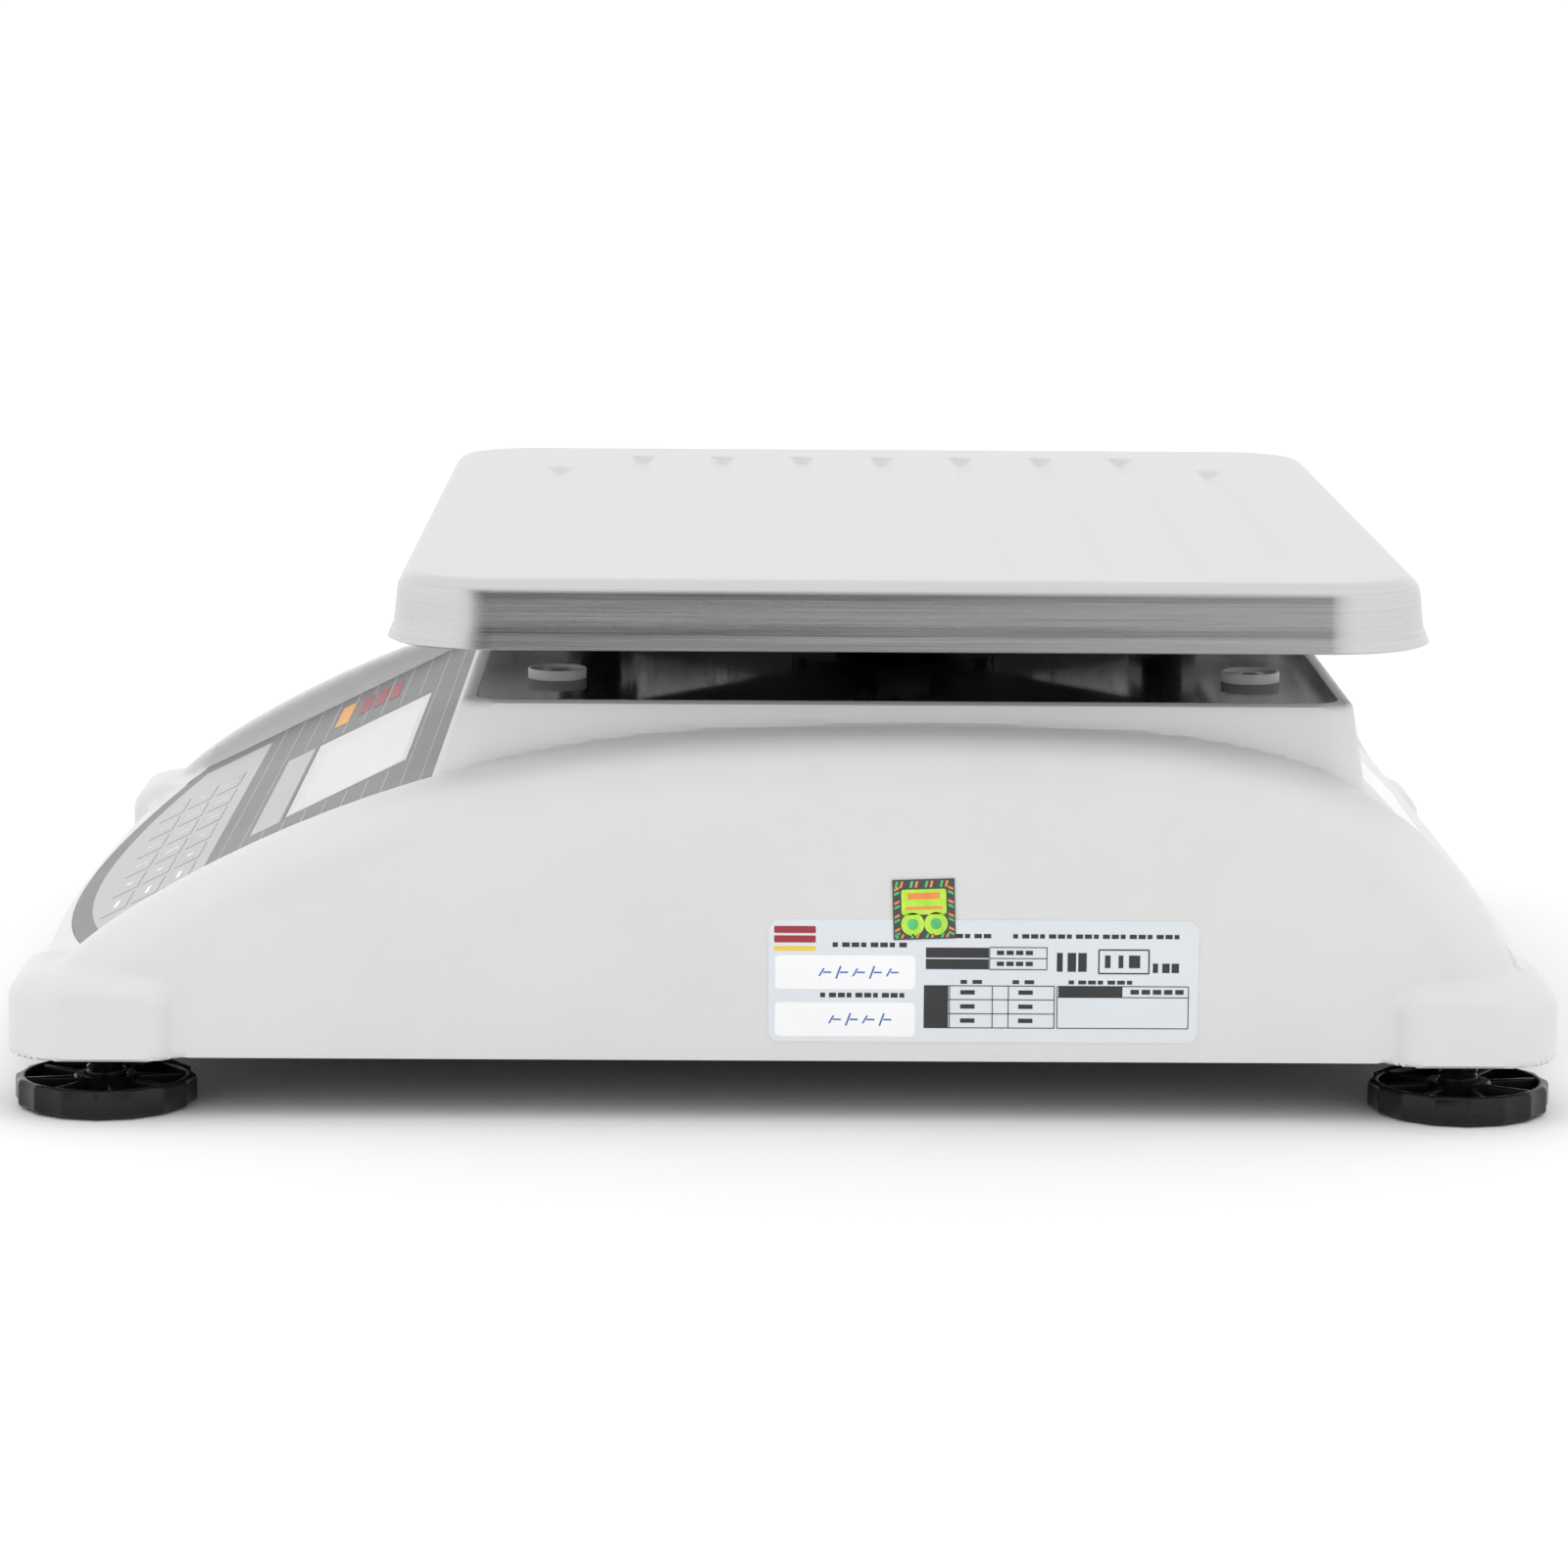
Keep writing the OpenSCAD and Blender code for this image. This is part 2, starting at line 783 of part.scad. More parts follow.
module main_board() {
    color("seagreen")
        translate([board_x, board_y, board_z]) {
            difference() {
                translate([-board_w / 2, -board_l / 2, 0])
                    cube([board_w, board_l, board_t]);
                for (sx = [-1, 1], sy = [-1, 1])
                    translate([sx * (board_w / 2 - board_inset), sy * (board_l / 2 - board_inset), -1])
                        cylinder(d = board_screw_d + 2 * run_gap, h = board_t + 2);
            }
            translate([-9, -9, board_t - EPS])
                cube([18, 18, chip_t]);
            translate([12, 20, board_t - EPS])
                cube([10, 14, chip_t]);
            translate([-board_w / 2 + board_inset, board_l / 2 - 36, board_t - EPS])
                cube(connector);
            translate([-board_w / 2 + board_inset + 3, -board_l / 2 + 8, board_t - EPS])
                cube([ribbon_w + 4, 8, connector[2]]);
        }
}

module battery() {
    color("#303438")
        translate([battery_x - battery_w / 2, battery_y - battery_l / 2, base_top_z]) {
            cube([battery_w, battery_l, battery_h]);
            for (x = [10, battery_w - 10 - terminal_w])
                translate([x, 6, battery_h - EPS])
                    cube([terminal_w, 1, terminal_h]);
        }
}

module battery_strap() {
    half = battery_w / 2 + strap_t;
    top = battery_h + strap_t;
    color("silver")
        translate([battery_x, battery_y + strap_w / 2, base_top_z])
            rotate([90, 0, 0])
                linear_extrude(strap_w)
                    polygon([
                        [-half - strap_foot, 0], [-half - strap_foot, strap_t], [-half, strap_t],
                        [-half, top], [half, top], [half, strap_t], [half + strap_foot, strap_t],
                        [half + strap_foot, 0], [half - strap_t, 0], [half - strap_t, battery_h],
                        [strap_t - half, battery_h], [strap_t - half, 0]
                    ]);
}

module power_socket() {
    color("#202020")
        translate([-x_cheek, socket_y, socket_z])
            difference() {
                union() {
                    translate([-socket_flange_t, -socket_w / 2 - socket_flange, -socket_h / 2 - socket_flange])
                        cube([socket_flange_t, socket_w + 2 * socket_flange, socket_h + 2 * socket_flange]);
                    translate([-EPS, -socket_w / 2, -socket_h / 2])
                        cube([socket_deep, socket_w, socket_h]);
                }
                translate([-socket_flange_t - 1, -socket_w / 2 + 2, -socket_h / 2 + 2])
                    cube([socket_deep + socket_flange_t - 2, socket_w - 4, socket_h - 4]);
            }
}

module power_switch_frame() {
    color("#202020")
        translate([-x_cheek, switch_y, switch_z])
            difference() {
                union() {
                    translate([-switch_frame_t, -switch_w / 2 - 2, -switch_h / 2 - 2])
                        cube([switch_frame_t, switch_w + 4, switch_h + 4]);
                    translate([-EPS, -switch_w / 2, -switch_h / 2])
                        cube([switch_deep, switch_w, switch_h]);
                }
                translate([-switch_frame_t - 1, -switch_w / 2 + 1.5, -switch_h / 2 + 1.5])
                    cube([switch_deep + switch_frame_t - 0.5, switch_w - 3, switch_h - 3]);
                rotate([90, 0, 0])
                    translate([rocker_sink, 0, 0])
                        cylinder(d = axle_d + 2 * run_gap, h = switch_w + 2, center = true);
            }
}

// The rocker turns about a Y axis; its face is two arcs that meet in a shallow valley.
module power_rocker() {
    inner_w = switch_w - 3 - 2 * rocker_gap;
    color("#303030")
        translate([-x_cheek + rocker_sink, switch_y, switch_z])
            rotate([90, 0, 0]) {
                linear_extrude(inner_w, center = true)
                    difference() {
                        intersection() {
                            circle(switch_h / 2 - 1.5 - rocker_gap);
                            translate([-rocker_t + 2, -rocker_r])
                                square([rocker_t, 2 * rocker_r]);
                        }
                        translate([-rocker_t - 24, 0])
                            circle(30, $fn = 96);
                    }
                cylinder(d = axle_d, h = switch_w - 1, center = true);
            }
}

module load_cell() {
    color("silver")
        difference() {
            translate([-cell_w / 2, cell_front_y, cell_z])
                cube([cell_w, cell_l, cell_h]);
            translate([0, pan_y, cell_z + cell_h / 2]) {
                for (dy = [-cell_bore_dy, cell_bore_dy])
                    translate([0, dy, 0])
                        rotate([0, 90, 0])
                            cylinder(r = cell_bore_r, h = cell_w + 2, center = true);
                cube([cell_w + 2, 2 * cell_bore_dy, cell_slot_h], center = true);
            }
            for (y = CELL_BOLTS) {
                translate([0, cell_rear_y - y, cell_z - 1])
                    cylinder(d = cell_bolt_d + 2 * run_gap, h = cell_bolt_deep + 2);
                translate([0, cell_front_y + y, cell_top_z - cell_bolt_deep - 1])
                    cylinder(d = cell_bolt_d + 2 * run_gap, h = cell_bolt_deep + 2);
            }
        }
}

module load_cell_spacer() {
    color("darkgray")
        difference() {
            translate([-spacer_w / 2, cell_rear_y - spacer_l, base_top_z])
                cube([spacer_w, spacer_l, spacer_h]);
            for (y = CELL_BOLTS)
                translate([0, cell_rear_y - y, base_top_z - 1])
                    cylinder(d = cell_bolt_d + 2 * run_gap, h = spacer_h + 2);
        }
}

module load_cell_bolts() {
    length = base_t - cell_bolt_head_h + spacer_h + cell_bolt_deep;
    color("dimgray")
        for (y = CELL_BOLTS)
            translate([0, cell_rear_y - y, skirt_z + cell_bolt_head_h])
                mirror([0, 0, 1])
                    cap_screw(cell_bolt_d, cell_bolt_head_d, cell_bolt_head_h, length);
}

module bracket_bolts() {
    color("dimgray")
        for (y = CELL_BOLTS)
            translate([0, cell_front_y + y, bracket_z + bracket_t])
                cap_screw(cell_bolt_d, cell_bolt_head_d, bracket_bolt_head_h, bracket_t + cell_bolt_deep - 2);
}

module platform_bracket() {
    color("darkgray")
        difference() {
            translate([-bracket_w / 2, cell_front_y, bracket_z])
                cube([bracket_w, cell_l / 2 + column_seat, bracket_t]);
            for (y = CELL_BOLTS)
                translate([0, cell_front_y + y, bracket_z - 1])
                    cylinder(d = cell_bolt_d + 2 * run_gap, h = bracket_t + 2);
        }
}

module pan_carrier() {
    arm_angle = atan2(pad_y, pad_x);
    arm_l = norm([pad_x, pad_y]);
    seat_z = bracket_z + bracket_t;
    color("lightslategray")
        translate([0, pan_y, 0])
            difference() {
                union() {
                    translate([0, 0, seat_z])
                        cylinder(d = column_d, h = hub_z - seat_z + 1);
                    translate([0, 0, hub_z])
                        cylinder(d = hub_d, h = arm_top_z - hub_z);
                    for (a = [arm_angle, -arm_angle, 180 - arm_angle, arm_angle - 180])
                        rotate([0, 0, a])
                            translate([0, -arm_w / 2, arm_bottom_z])
                                cube([arm_l, arm_w, arm_top_z - arm_bottom_z]);
                    at_pads()
                        translate([0, 0, arm_bottom_z])
                            cylinder(d = cup_d, h = cup_top_z - arm_bottom_z);
                }
                at_pads()
                    translate([0, 0, cup_top_z - cup_deep])
                        cylinder(d = pad_d + 2 * fit_gap, h = cup_deep + 1);
            }
}

module at_pads() {
    for (sx = [-1, 1], sy = [-1, 1])
        translate([sx * pad_x, sy * pad_y, 0])
            children();
}

module pan_pads() {
    color("#202020")
        translate([0, pan_y, cup_top_z - cup_deep])
            at_pads()
                cylinder(d = pad_d, h = pad_top_z - cup_top_z + cup_deep);
}

module pan_form(inset, low_z) {
    $fn = SOFT_FN;
    flare = 2 * (pan_flare - inset);
    edge_r = pan_edge_r - inset;
    hull() {
        slab(pan_w + flare, pan_l + flare, pan_r - inset, low_z, low_z + slice_t);
        for (k = [0:3])
            let (a = k * 30, side = inset + edge_r * (1 - cos(a)), z = pan_z - pan_edge_r + edge_r * sin(a))
            slab(pan_w - 2 * side, pan_l - 2 * side, pan_r - side, z - slice_t, z);
    }
}

module grooves(w, z0, z1) {
    for (i = [0:groove_n - 1])
        let (
            k = i - (groove_n - 1) / 2,
            half = (i == 0 || i == groove_n - 1) ? groove_end_half : groove_half
        )
        translate([0, k * groove_pitch, z0])
            linear_extrude(z1 - z0) {
                square([2 * half - w, w], center = true);
                for (sx = [-1, 1])
                    translate([sx * (half - w / 2), 0])
                        circle(w / 2);
            }
}

module weighing_pan() {
    color("silver")
        translate([0, pan_y, 0])
            difference() {
                pan_form(0, pan_z - pan_h);
                difference() {
                    pan_form(sheet_t, pan_z - pan_h - 1);
                    grooves(groove_w + 2 * sheet_t, pan_z - sheet_t - groove_d, pan_z);
                }
                grooves(groove_w, pan_z - groove_d, pan_z + 1);
            }
}

module foot_inserts() {
    color("goldenrod")
        for (p = FEET)
            translate([p[0], p[1], skirt_z])
                difference() {
                    cylinder(d = insert_d, h = insert_h);
                    translate([0, 0, -1])
                        cylinder(d = stud_d + 2 * run_gap, h = insert_h + 2);
                }
}

module housing_screws() {
    color("dimgray")
        at_bosses()
            translate([0, 0, skirt_z + screw_head_h])
                mirror([0, 0, 1])
                    cap_screw(screw_d, screw_head_d, screw_head_h, screw_l - 4);
}

module board_screws() {
    color("silver")
        for (p = BOARD_CORNERS())
            translate([p[0], p[1], board_z + board_t])
                cap_screw(board_screw_d, 2 * board_screw_d, board_screw_head_h, board_t + board_screw_deep - 0.5);
}

// A round cable along straight stretches, with a ball at each bend.
module round_cable(points, d) {
    for (i = [0:len(points) - 2])
        let (a = points[i], b = points[i + 1], s = b - a)
        translate(a)
            rotate([0, acos(s[2] / norm(s)), atan2(s[1], s[0])])
                cylinder(d = d, h = norm(s));
    for (i = [1:len(points) - 2])
        translate(points[i])
            sphere(d = d + cable_bend_swell);
}

module load_cell_cable() {
    plug_x = board_x - board_w / 2 + board_inset;
    plug_y = board_y + board_l / 2 - 36 + connector[1] / 2;
    plug_z = board_z + board_t + connector[2] / 2;
    start_x = cell_w / 2;
    color("#404040")
        round_cable([
            [start_x, plug_y, cable_z],
            [start_x + 5, plug_y, cable_z],
            [plug_x - 5, plug_y, plug_z],
            [plug_x, plug_y, plug_z]
        ], cable_d);
}

// The ribbon's side view: up from its plug, then forwards to the display board's lower face.
module display_ribbon() {
    plug_x = board_x - board_w / 2 + board_inset + 5;
    plug_y = board_y - board_l / 2 + 12;
    plug_z = board_z + board_t + connector[2];
    drop = wall + lcd_h + board_t;
    v = window_v + window_l - 4;
    end_y = panel_y - v * cos(panel_angle) + drop * sin(panel_angle);
    end_z = panel_top_z - v * sin(panel_angle) - drop * cos(panel_angle);
    bend_z = end_z - 14;
    color("gray")
        side_extrude(plug_x, plug_x + ribbon_w)
            polygon([
                [plug_y, plug_z - EPS], [plug_y, bend_z],
                [end_y + ribbon_t, bend_z], [end_y + ribbon_t, end_z + ribbon_t * tan(panel_angle)],
                [end_y, end_z], [end_y, bend_z - ribbon_t],
                [plug_y - ribbon_t, bend_z - ribbon_t], [plug_y - ribbon_t, plug_z - EPS]
            ]);
}

module label_form() {
    w = label_y[1] - label_y[0];
    h = label_z[1] - label_z[0];
    translate([x_cheek, label_y[0] + w / 2, label_z[0] + h / 2])
        rotate([90, 0, 90])
            linear_extrude(label_t)
                rounded_rect(w, h, label_r);
}

module rating_label() {
    color("aliceblue")
        label_form();
}

// The seal lies partly over the upper edge of the rating label, so it is stepped at its back.
module seal_label() {
    color("mediumseagreen")
        difference() {
            translate([x_cheek, seal_y, seal_z])
                rotate([90, 0, 90])
                    rotate([0, 0, seal_tilt])
                        linear_extrude(2 * label_t)
                            square([seal_w, seal_h], center = true);
            label_form();
        }
}

// The wheel is a shallow open cup with a scalloped rim, a hub and spokes, carried on its stud.
module foot_wheel(corner) {
    low_z = foot_pad_t + moving_gap;
    color("#1a1a1a")
        translate([FEET[corner][0], FEET[corner][1], 0])
            difference() {
                union() {
                    difference() {
                        translate([0, 0, low_z])
                            cylinder(d = wheel_d, h = wheel_top_z - low_z);
                        translate([0, 0, low_z + wheel_floor_t])
                            cylinder(d = wheel_d - 2 * wheel_rim_t, h = wheel_top_z);
                        for (i = [0:scallops - 1])
                            rotate([0, 0, i * 360 / scallops])
                                translate([wheel_d / 2 + scallop_r - scallop_deep, 0, 0])
                                    cylinder(r = scallop_r, h = wheel_top_z + 1);
                    }
                    translate([0, 0, low_z])
                        cylinder(d = wheel_hub_d, h = wheel_top_z - low_z);
                    for (i = [0:spokes - 1])
                        rotate([0, 0, i * 360 / spokes])
                            translate([wheel_hub_d / 2 - 1, -spoke_t / 2, low_z])
                                cube([wheel_d / 2 - wheel_rim_t - wheel_hub_d / 2 + 2, spoke_t,
                                    wheel_top_z - low_z - 0.8]);
                    translate([0, 0, low_z])
                        cylinder(d = stud_d, h = stud_top_z - low_z);
                }
                translate([0, 0, low_z - 1])
                    cylinder(d = pivot_d + 2 * run_gap, h = pivot_h + 1);
            }
}

module foot_pad(corner) {
    color("#101010")
        translate([FEET[corner][0], FEET[corner][1], 0]) {
            cylinder(d = foot_pad_d, h = foot_pad_t);
            cylinder(d = pivot_d, h = foot_pad_t + pivot_h);
        }
}

upper_housing();
base_plate();
deck_plate();
deck_collars();
deck_screws();
level_vial();
keypad_overlay();
keypad_board();
display_window();
lcd_module();
display_board();
rear_window();
rear_lcd_module();
main_board();
battery();
battery_strap();
power_socket();
power_switch_frame();
power_rocker();
load_cell();
load_cell_spacer();
load_cell_bolts();
bracket_bolts();
platform_bracket();
pan_carrier();
pan_pads();
weighing_pan();
foot_inserts();
housing_screws();
board_screws();
load_cell_cable();
display_ribbon();
rating_label();
seal_label();
for (i = [0:3]) {
    foot_wheel(i);
    foot_pad(i);
}
for (row = [1:key_rows], col = [1:key_cols]) {
    key(row, col);
}
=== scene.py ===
import math

import bpy
import numpy as np
from mathutils import Matrix, Vector


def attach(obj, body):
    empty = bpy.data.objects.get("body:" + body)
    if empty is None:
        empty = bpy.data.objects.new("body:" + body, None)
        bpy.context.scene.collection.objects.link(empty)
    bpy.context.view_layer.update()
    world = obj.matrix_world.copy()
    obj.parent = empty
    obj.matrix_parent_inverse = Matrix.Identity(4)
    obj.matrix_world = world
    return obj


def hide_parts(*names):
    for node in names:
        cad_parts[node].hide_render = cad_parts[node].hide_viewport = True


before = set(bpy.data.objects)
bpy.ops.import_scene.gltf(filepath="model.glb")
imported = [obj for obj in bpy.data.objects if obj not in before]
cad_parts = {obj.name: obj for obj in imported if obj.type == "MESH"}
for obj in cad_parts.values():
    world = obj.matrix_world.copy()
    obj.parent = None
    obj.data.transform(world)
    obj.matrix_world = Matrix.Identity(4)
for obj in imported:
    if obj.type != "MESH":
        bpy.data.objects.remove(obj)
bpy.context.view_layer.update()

# The camera stands low beside the right cheek, so the arch, the pan's near rim and the labels
# face it, with a long lens and almost no perspective.
eye = Vector((1.4944, -0.0119, 0.3029))
look_down = math.radians(9.288)
look_aside = math.radians(0.496)
lean = math.radians(0.389)
level_ahead = Vector((-math.cos(look_aside), math.sin(look_aside), 0))
level_right = Vector((math.sin(look_aside), math.cos(look_aside), 0))
ahead = level_ahead * math.cos(look_down) + Vector((0, 0, -math.sin(look_down)))
upward = level_ahead * math.sin(look_down) + Vector((0, 0, math.cos(look_down)))
frame_right = level_right * math.cos(lean) + upward * math.sin(lean)
frame_up = upward * math.cos(lean) - level_right * math.sin(lean)
camera_lens = bpy.data.cameras.new("side_camera")
camera_lens.sensor_width = 36
camera_lens.lens = 124.64
camera = bpy.data.objects.new("side_camera", camera_lens)
camera.matrix_world = Matrix.Translation(eye) @ Matrix((frame_right, frame_up, -ahead)).transposed().to_4x4()
bpy.context.scene.collection.objects.link(camera)
bpy.context.scene.camera = camera
bpy.context.scene.view_settings.view_transform = "Standard"


# A white sweep of studio paper under the scale, lit evenly by a bright room. On the labelled
# cheek's side the room is dark, but only where it is mirrored, so it takes no light away there.
# That gives the steel rim its grey middle and bright corners.
def link_nodes(tree, *pairs):
    for source, target in pairs:
        tree.links.new(source, target)


def add_node(tree, kind, values=None, **settings):
    """A new shader node with its settings and the values of its unlinked inputs."""
    node = tree.nodes.new(f"ShaderNode{kind}")
    for name, value in settings.items():
        setattr(node, name, value)
    for name, value in (values or {}).items():
        node.inputs[name].default_value = value
    return node


def new_material(name):
    material = bpy.data.materials.new(name)
    material.use_nodes = True
    return material, material.node_tree, material.node_tree.nodes["Principled BSDF"]


def ramp_between(tree, source, low, high):
    """A colour or grey that runs between two values, such as two close tones of a surface."""
    ramp = add_node(tree, "ValToRGB")
    for element, tone in zip(ramp.color_ramp.elements, (low, high)):
        element.color = (*tone, 1) if isinstance(tone, tuple) else (tone, tone, tone, 1)
    tree.links.new(source, ramp.inputs["Fac"])
    return ramp.outputs["Color"]


floor_half = 40.0
floor_drop = 0.0002
floor_mesh = bpy.data.meshes.new("studio_floor")
floor_signs = [(-1, -1), (1, -1), (1, 1), (-1, 1)]
floor_corners = [(sx * floor_half, sy * floor_half, -floor_drop) for sx, sy in floor_signs]
floor_mesh.from_pydata(floor_corners, [], [(0, 1, 2, 3)])
floor = bpy.data.objects.new("studio_floor", floor_mesh)
bpy.context.scene.collection.objects.link(floor)
paper, paper_tree, paper_shader = new_material("studio_paper")
paper_shader.inputs["Roughness"].default_value = 0.9
paper_shader.inputs["Specular IOR Level"].default_value = 0.1
paper_fibre = add_node(paper_tree, "TexNoise", {"Scale": 40})
paper_tone = ramp_between(paper_tree, paper_fibre.outputs["Fac"], 0.92, 0.935)
link_nodes(paper_tree, (paper_tone, paper_shader.inputs["Base Color"]))
floor_mesh.materials.append(paper)

room = bpy.data.worlds.new("white_room")
room.use_nodes = True
bpy.context.scene.world = room
room_tree = room.node_tree
room_light = room_tree.nodes["Background"]
room_light.inputs["Strength"].default_value = 1.0
room_white, room_black = 1.1, 0.0
dark_turn = math.radians(22)
room_way = add_node(room_tree, "TexCoord").outputs["Generated"]
room_towards = add_node(room_tree, "VectorMath", operation="DOT_PRODUCT")
room_towards.inputs[1].default_value = (math.cos(dark_turn), -math.sin(dark_turn), 0)
room_across = add_node(room_tree, "SeparateXYZ")
link_nodes(room_tree, (room_way, room_towards.inputs[0]), (room_way, room_across.inputs["Vector"]))
dark_mask = add_node(room_tree, "LightPath").outputs["Is Glossy Ray"]
for source, start, end in (
    (room_towards.outputs["Value"], 0.5, 0.8),
    (room_across.outputs["Y"], -0.38, -0.30),
    (room_across.outputs["Y"], 0.36, 0.0),
):
    room_edge = add_node(room_tree, "MapRange", {"From Min": start, "From Max": end})
    room_edge.interpolation_type = "SMOOTHSTEP"
    both_masks = add_node(room_tree, "Math", operation="MULTIPLY")
    link_nodes(
        room_tree,
        (source, room_edge.inputs["Value"]),
        (dark_mask, both_masks.inputs[0]),
        (room_edge.outputs["Result"], both_masks.inputs[1]),
    )
    dark_mask = both_masks.outputs["Value"]
room_tone = ramp_between(room_tree, dark_mask, room_white, room_black)
link_nodes(room_tree, (room_tone, room_light.inputs["Color"]))

overhead_lamp = bpy.data.lights.new("overhead_softbox", "AREA")
overhead_lamp.shape = "RECTANGLE"
overhead_lamp.size = 2.0
overhead_lamp.size_y = 2.0
overhead_lamp.energy = 4
overhead_place = Vector((0.2, 0.1, 1.9))
overhead_aim = Vector((0, 0, 0.1)) - overhead_place
overhead_softbox = bpy.data.objects.new("overhead_softbox", overhead_lamp)
overhead_softbox.visible_glossy = False
overhead_softbox.location = overhead_place
overhead_softbox.rotation_euler = overhead_aim.to_track_quat("-Z", "Y").to_euler()
bpy.context.scene.collection.objects.link(overhead_softbox)


# The housing is one white ABS moulding: two arched cheeks, a wedge between them for the panels,
# a raised plinth for the deck and four corner lobes over the feet. Its walls are 2.5 mm thick.
body_half_w = 165
body_half_l = 198
skirt_z = 15
deck_z = 103.4
crest_z = 97.8
cheek_inner_x = 148
cheek_edge_r = 14
bow_r = 1048
housing_wall = 2.5
front_arcs = [(950, 3.2), (310, 28), (123, 15.7)]
rear_arcs = [(1000, 2.8), (205, 11.2), (90, 56.9)]
front_arch_end = -188.3
rear_arch_end = 186.1
panel_y = -89.5
panel_top_z = 80.2
panel_slope = math.radians(26.3)
rear_y = 147
rear_top_z = 79.5
rear_slope = math.radians(46)
wedge_overlap = 2
plinth_front_lean = 8.1
plinth_rear_lean = 3.8
lobe_half_x, lobe_half_y = 170, 195
lobe_inner_x, lobe_inner_y = 125, 152
lobe_top_z = 36
cavity_low_z = 8
lobe_corner_r, lobe_edge_r, lobe_join_r = 16, 8, 2
cheek_inner_r, wedge_join_r, bow_edge_r, skirt_edge_r = 1.2, 0.8, 5, 0.8
plinth_corner_r, plinth_edge_r, plinth_join_r = 9, 1.6, 1.2
pan_y = 30.9


def arc_reach(arcs):
    turned = 0
    run = 0
    for radius, sweep in arcs:
        run += radius * (math.sin(math.radians(turned + sweep)) - math.sin(math.radians(turned)))
        turned += sweep
    return run


def arch_points(start_y, way, arcs, steps=14):
    points = [(start_y, crest_z)]
    turned = 0
    for radius, sweep in arcs:
        y, z = points[-1]
        a = math.radians(turned)
        for k in range(1, steps + 1):
            b = math.radians(turned + sweep * k / steps)
            run = way * radius * (math.sin(b) - math.sin(a))
            points.append((y + run, z - radius * (math.cos(a) - math.cos(b))))
        turned += sweep
    return points


front_arch = arch_points(front_arch_end + arc_reach(front_arcs), -1, front_arcs)
rear_arch = arch_points(rear_arch_end - arc_reach(rear_arcs), 1, rear_arcs)
arch_foot_z = -60
arch_feet = [(front_arch[-1][0], arch_foot_z), (rear_arch[-1][0], arch_foot_z)]
arch_outline = np.array(arch_feet[:1] + front_arch[::-1] + rear_arch + arch_feet[1:])


def arch_distance(y, z):
    """Distance from the side view of the arch, below zero inside."""
    ends = np.roll(arch_outline, -1, axis=0)
    nearest = np.full(np.broadcast(y, z).shape, 1e9)
    crossings = np.zeros(nearest.shape, bool)
    for (ay, az), (by, bz) in zip(arch_outline, ends):
        ey, ez = by - ay, bz - az
        t = np.clip(((y - ay) * ey + (z - az) * ez) / (ey * ey + ez * ez), 0, 1)
        nearest = np.minimum(nearest, (y - ay - t * ey) ** 2 + (z - az - t * ez) ** 2)
        if abs(bz - az) > 1e-9:
            crossings ^= ((az > z) != (bz > z)) & (y < ey * (z - az) / ez + ay)
    return np.where(crossings, -1, 1) * np.sqrt(nearest)


def round_max(a, b, r):
    """Where both forms overlap, with the edge between them rounded to radius r."""
    return np.minimum(np.maximum(a, b), -r) + np.hypot(np.maximum(a + r, 0), np.maximum(b + r, 0))


def round_min(a, b, r):
    """Both forms joined, with the hollow between them filled to radius r."""
    return np.maximum(np.minimum(a, b), r) - np.hypot(np.maximum(r - a, 0), np.maximum(r - b, 0))


def housing_form(x, y, z):
    across = np.abs(x)
    arch = round_max(arch_distance(y, z), across - body_half_w, cheek_edge_r)
    cheek = round_max(arch, cheek_inner_x - across, cheek_inner_r)
    front_panel = (z - panel_top_z - (y - panel_y) * math.tan(panel_slope)) * math.cos(panel_slope)
    rear_panel = (z - rear_top_z + (y - rear_y) * math.tan(rear_slope)) * math.cos(rear_slope)
    panels = np.maximum(np.maximum(front_panel, rear_panel), z - panel_top_z)
    wedge = np.maximum(panels, across - cheek_inner_x - wedge_overlap)
    body = round_min(cheek, wedge, wedge_join_r)
    bow = np.maximum(np.hypot(x, y - bow_r + body_half_l), np.hypot(x, y + bow_r - body_half_l)) - bow_r
    body = round_max(body, bow, bow_edge_r)
    rise = (z - panel_top_z) / (deck_z - panel_top_z)
    plinth_ends = np.maximum(panel_y + plinth_front_lean * rise - y, y - rear_y + plinth_rear_lean * rise)
    plinth_sides = round_max(across - cheek_inner_x, plinth_ends, plinth_corner_r)
    plinth = round_max(plinth_sides, z - deck_z, plinth_edge_r)
    body = round_min(body, plinth, plinth_join_r)
    lobe_outer = round_max(across - lobe_half_x, np.abs(y) - lobe_half_y, lobe_corner_r)
    lobe_inner = np.maximum(lobe_inner_x - across, lobe_inner_y - np.abs(y))
    lobe = round_max(round_max(lobe_outer, lobe_inner, lobe_edge_r), z - lobe_top_z, lobe_edge_r)
    return round_min(body, lobe, lobe_join_r)


def housing_outside(x, y, z):
    return round_max(housing_form(x, y, z), skirt_z - z, skirt_edge_r)


def housing_inside(x, y, z):
    return np.maximum(housing_form(x, y, z) + housing_wall, cavity_low_z - z)


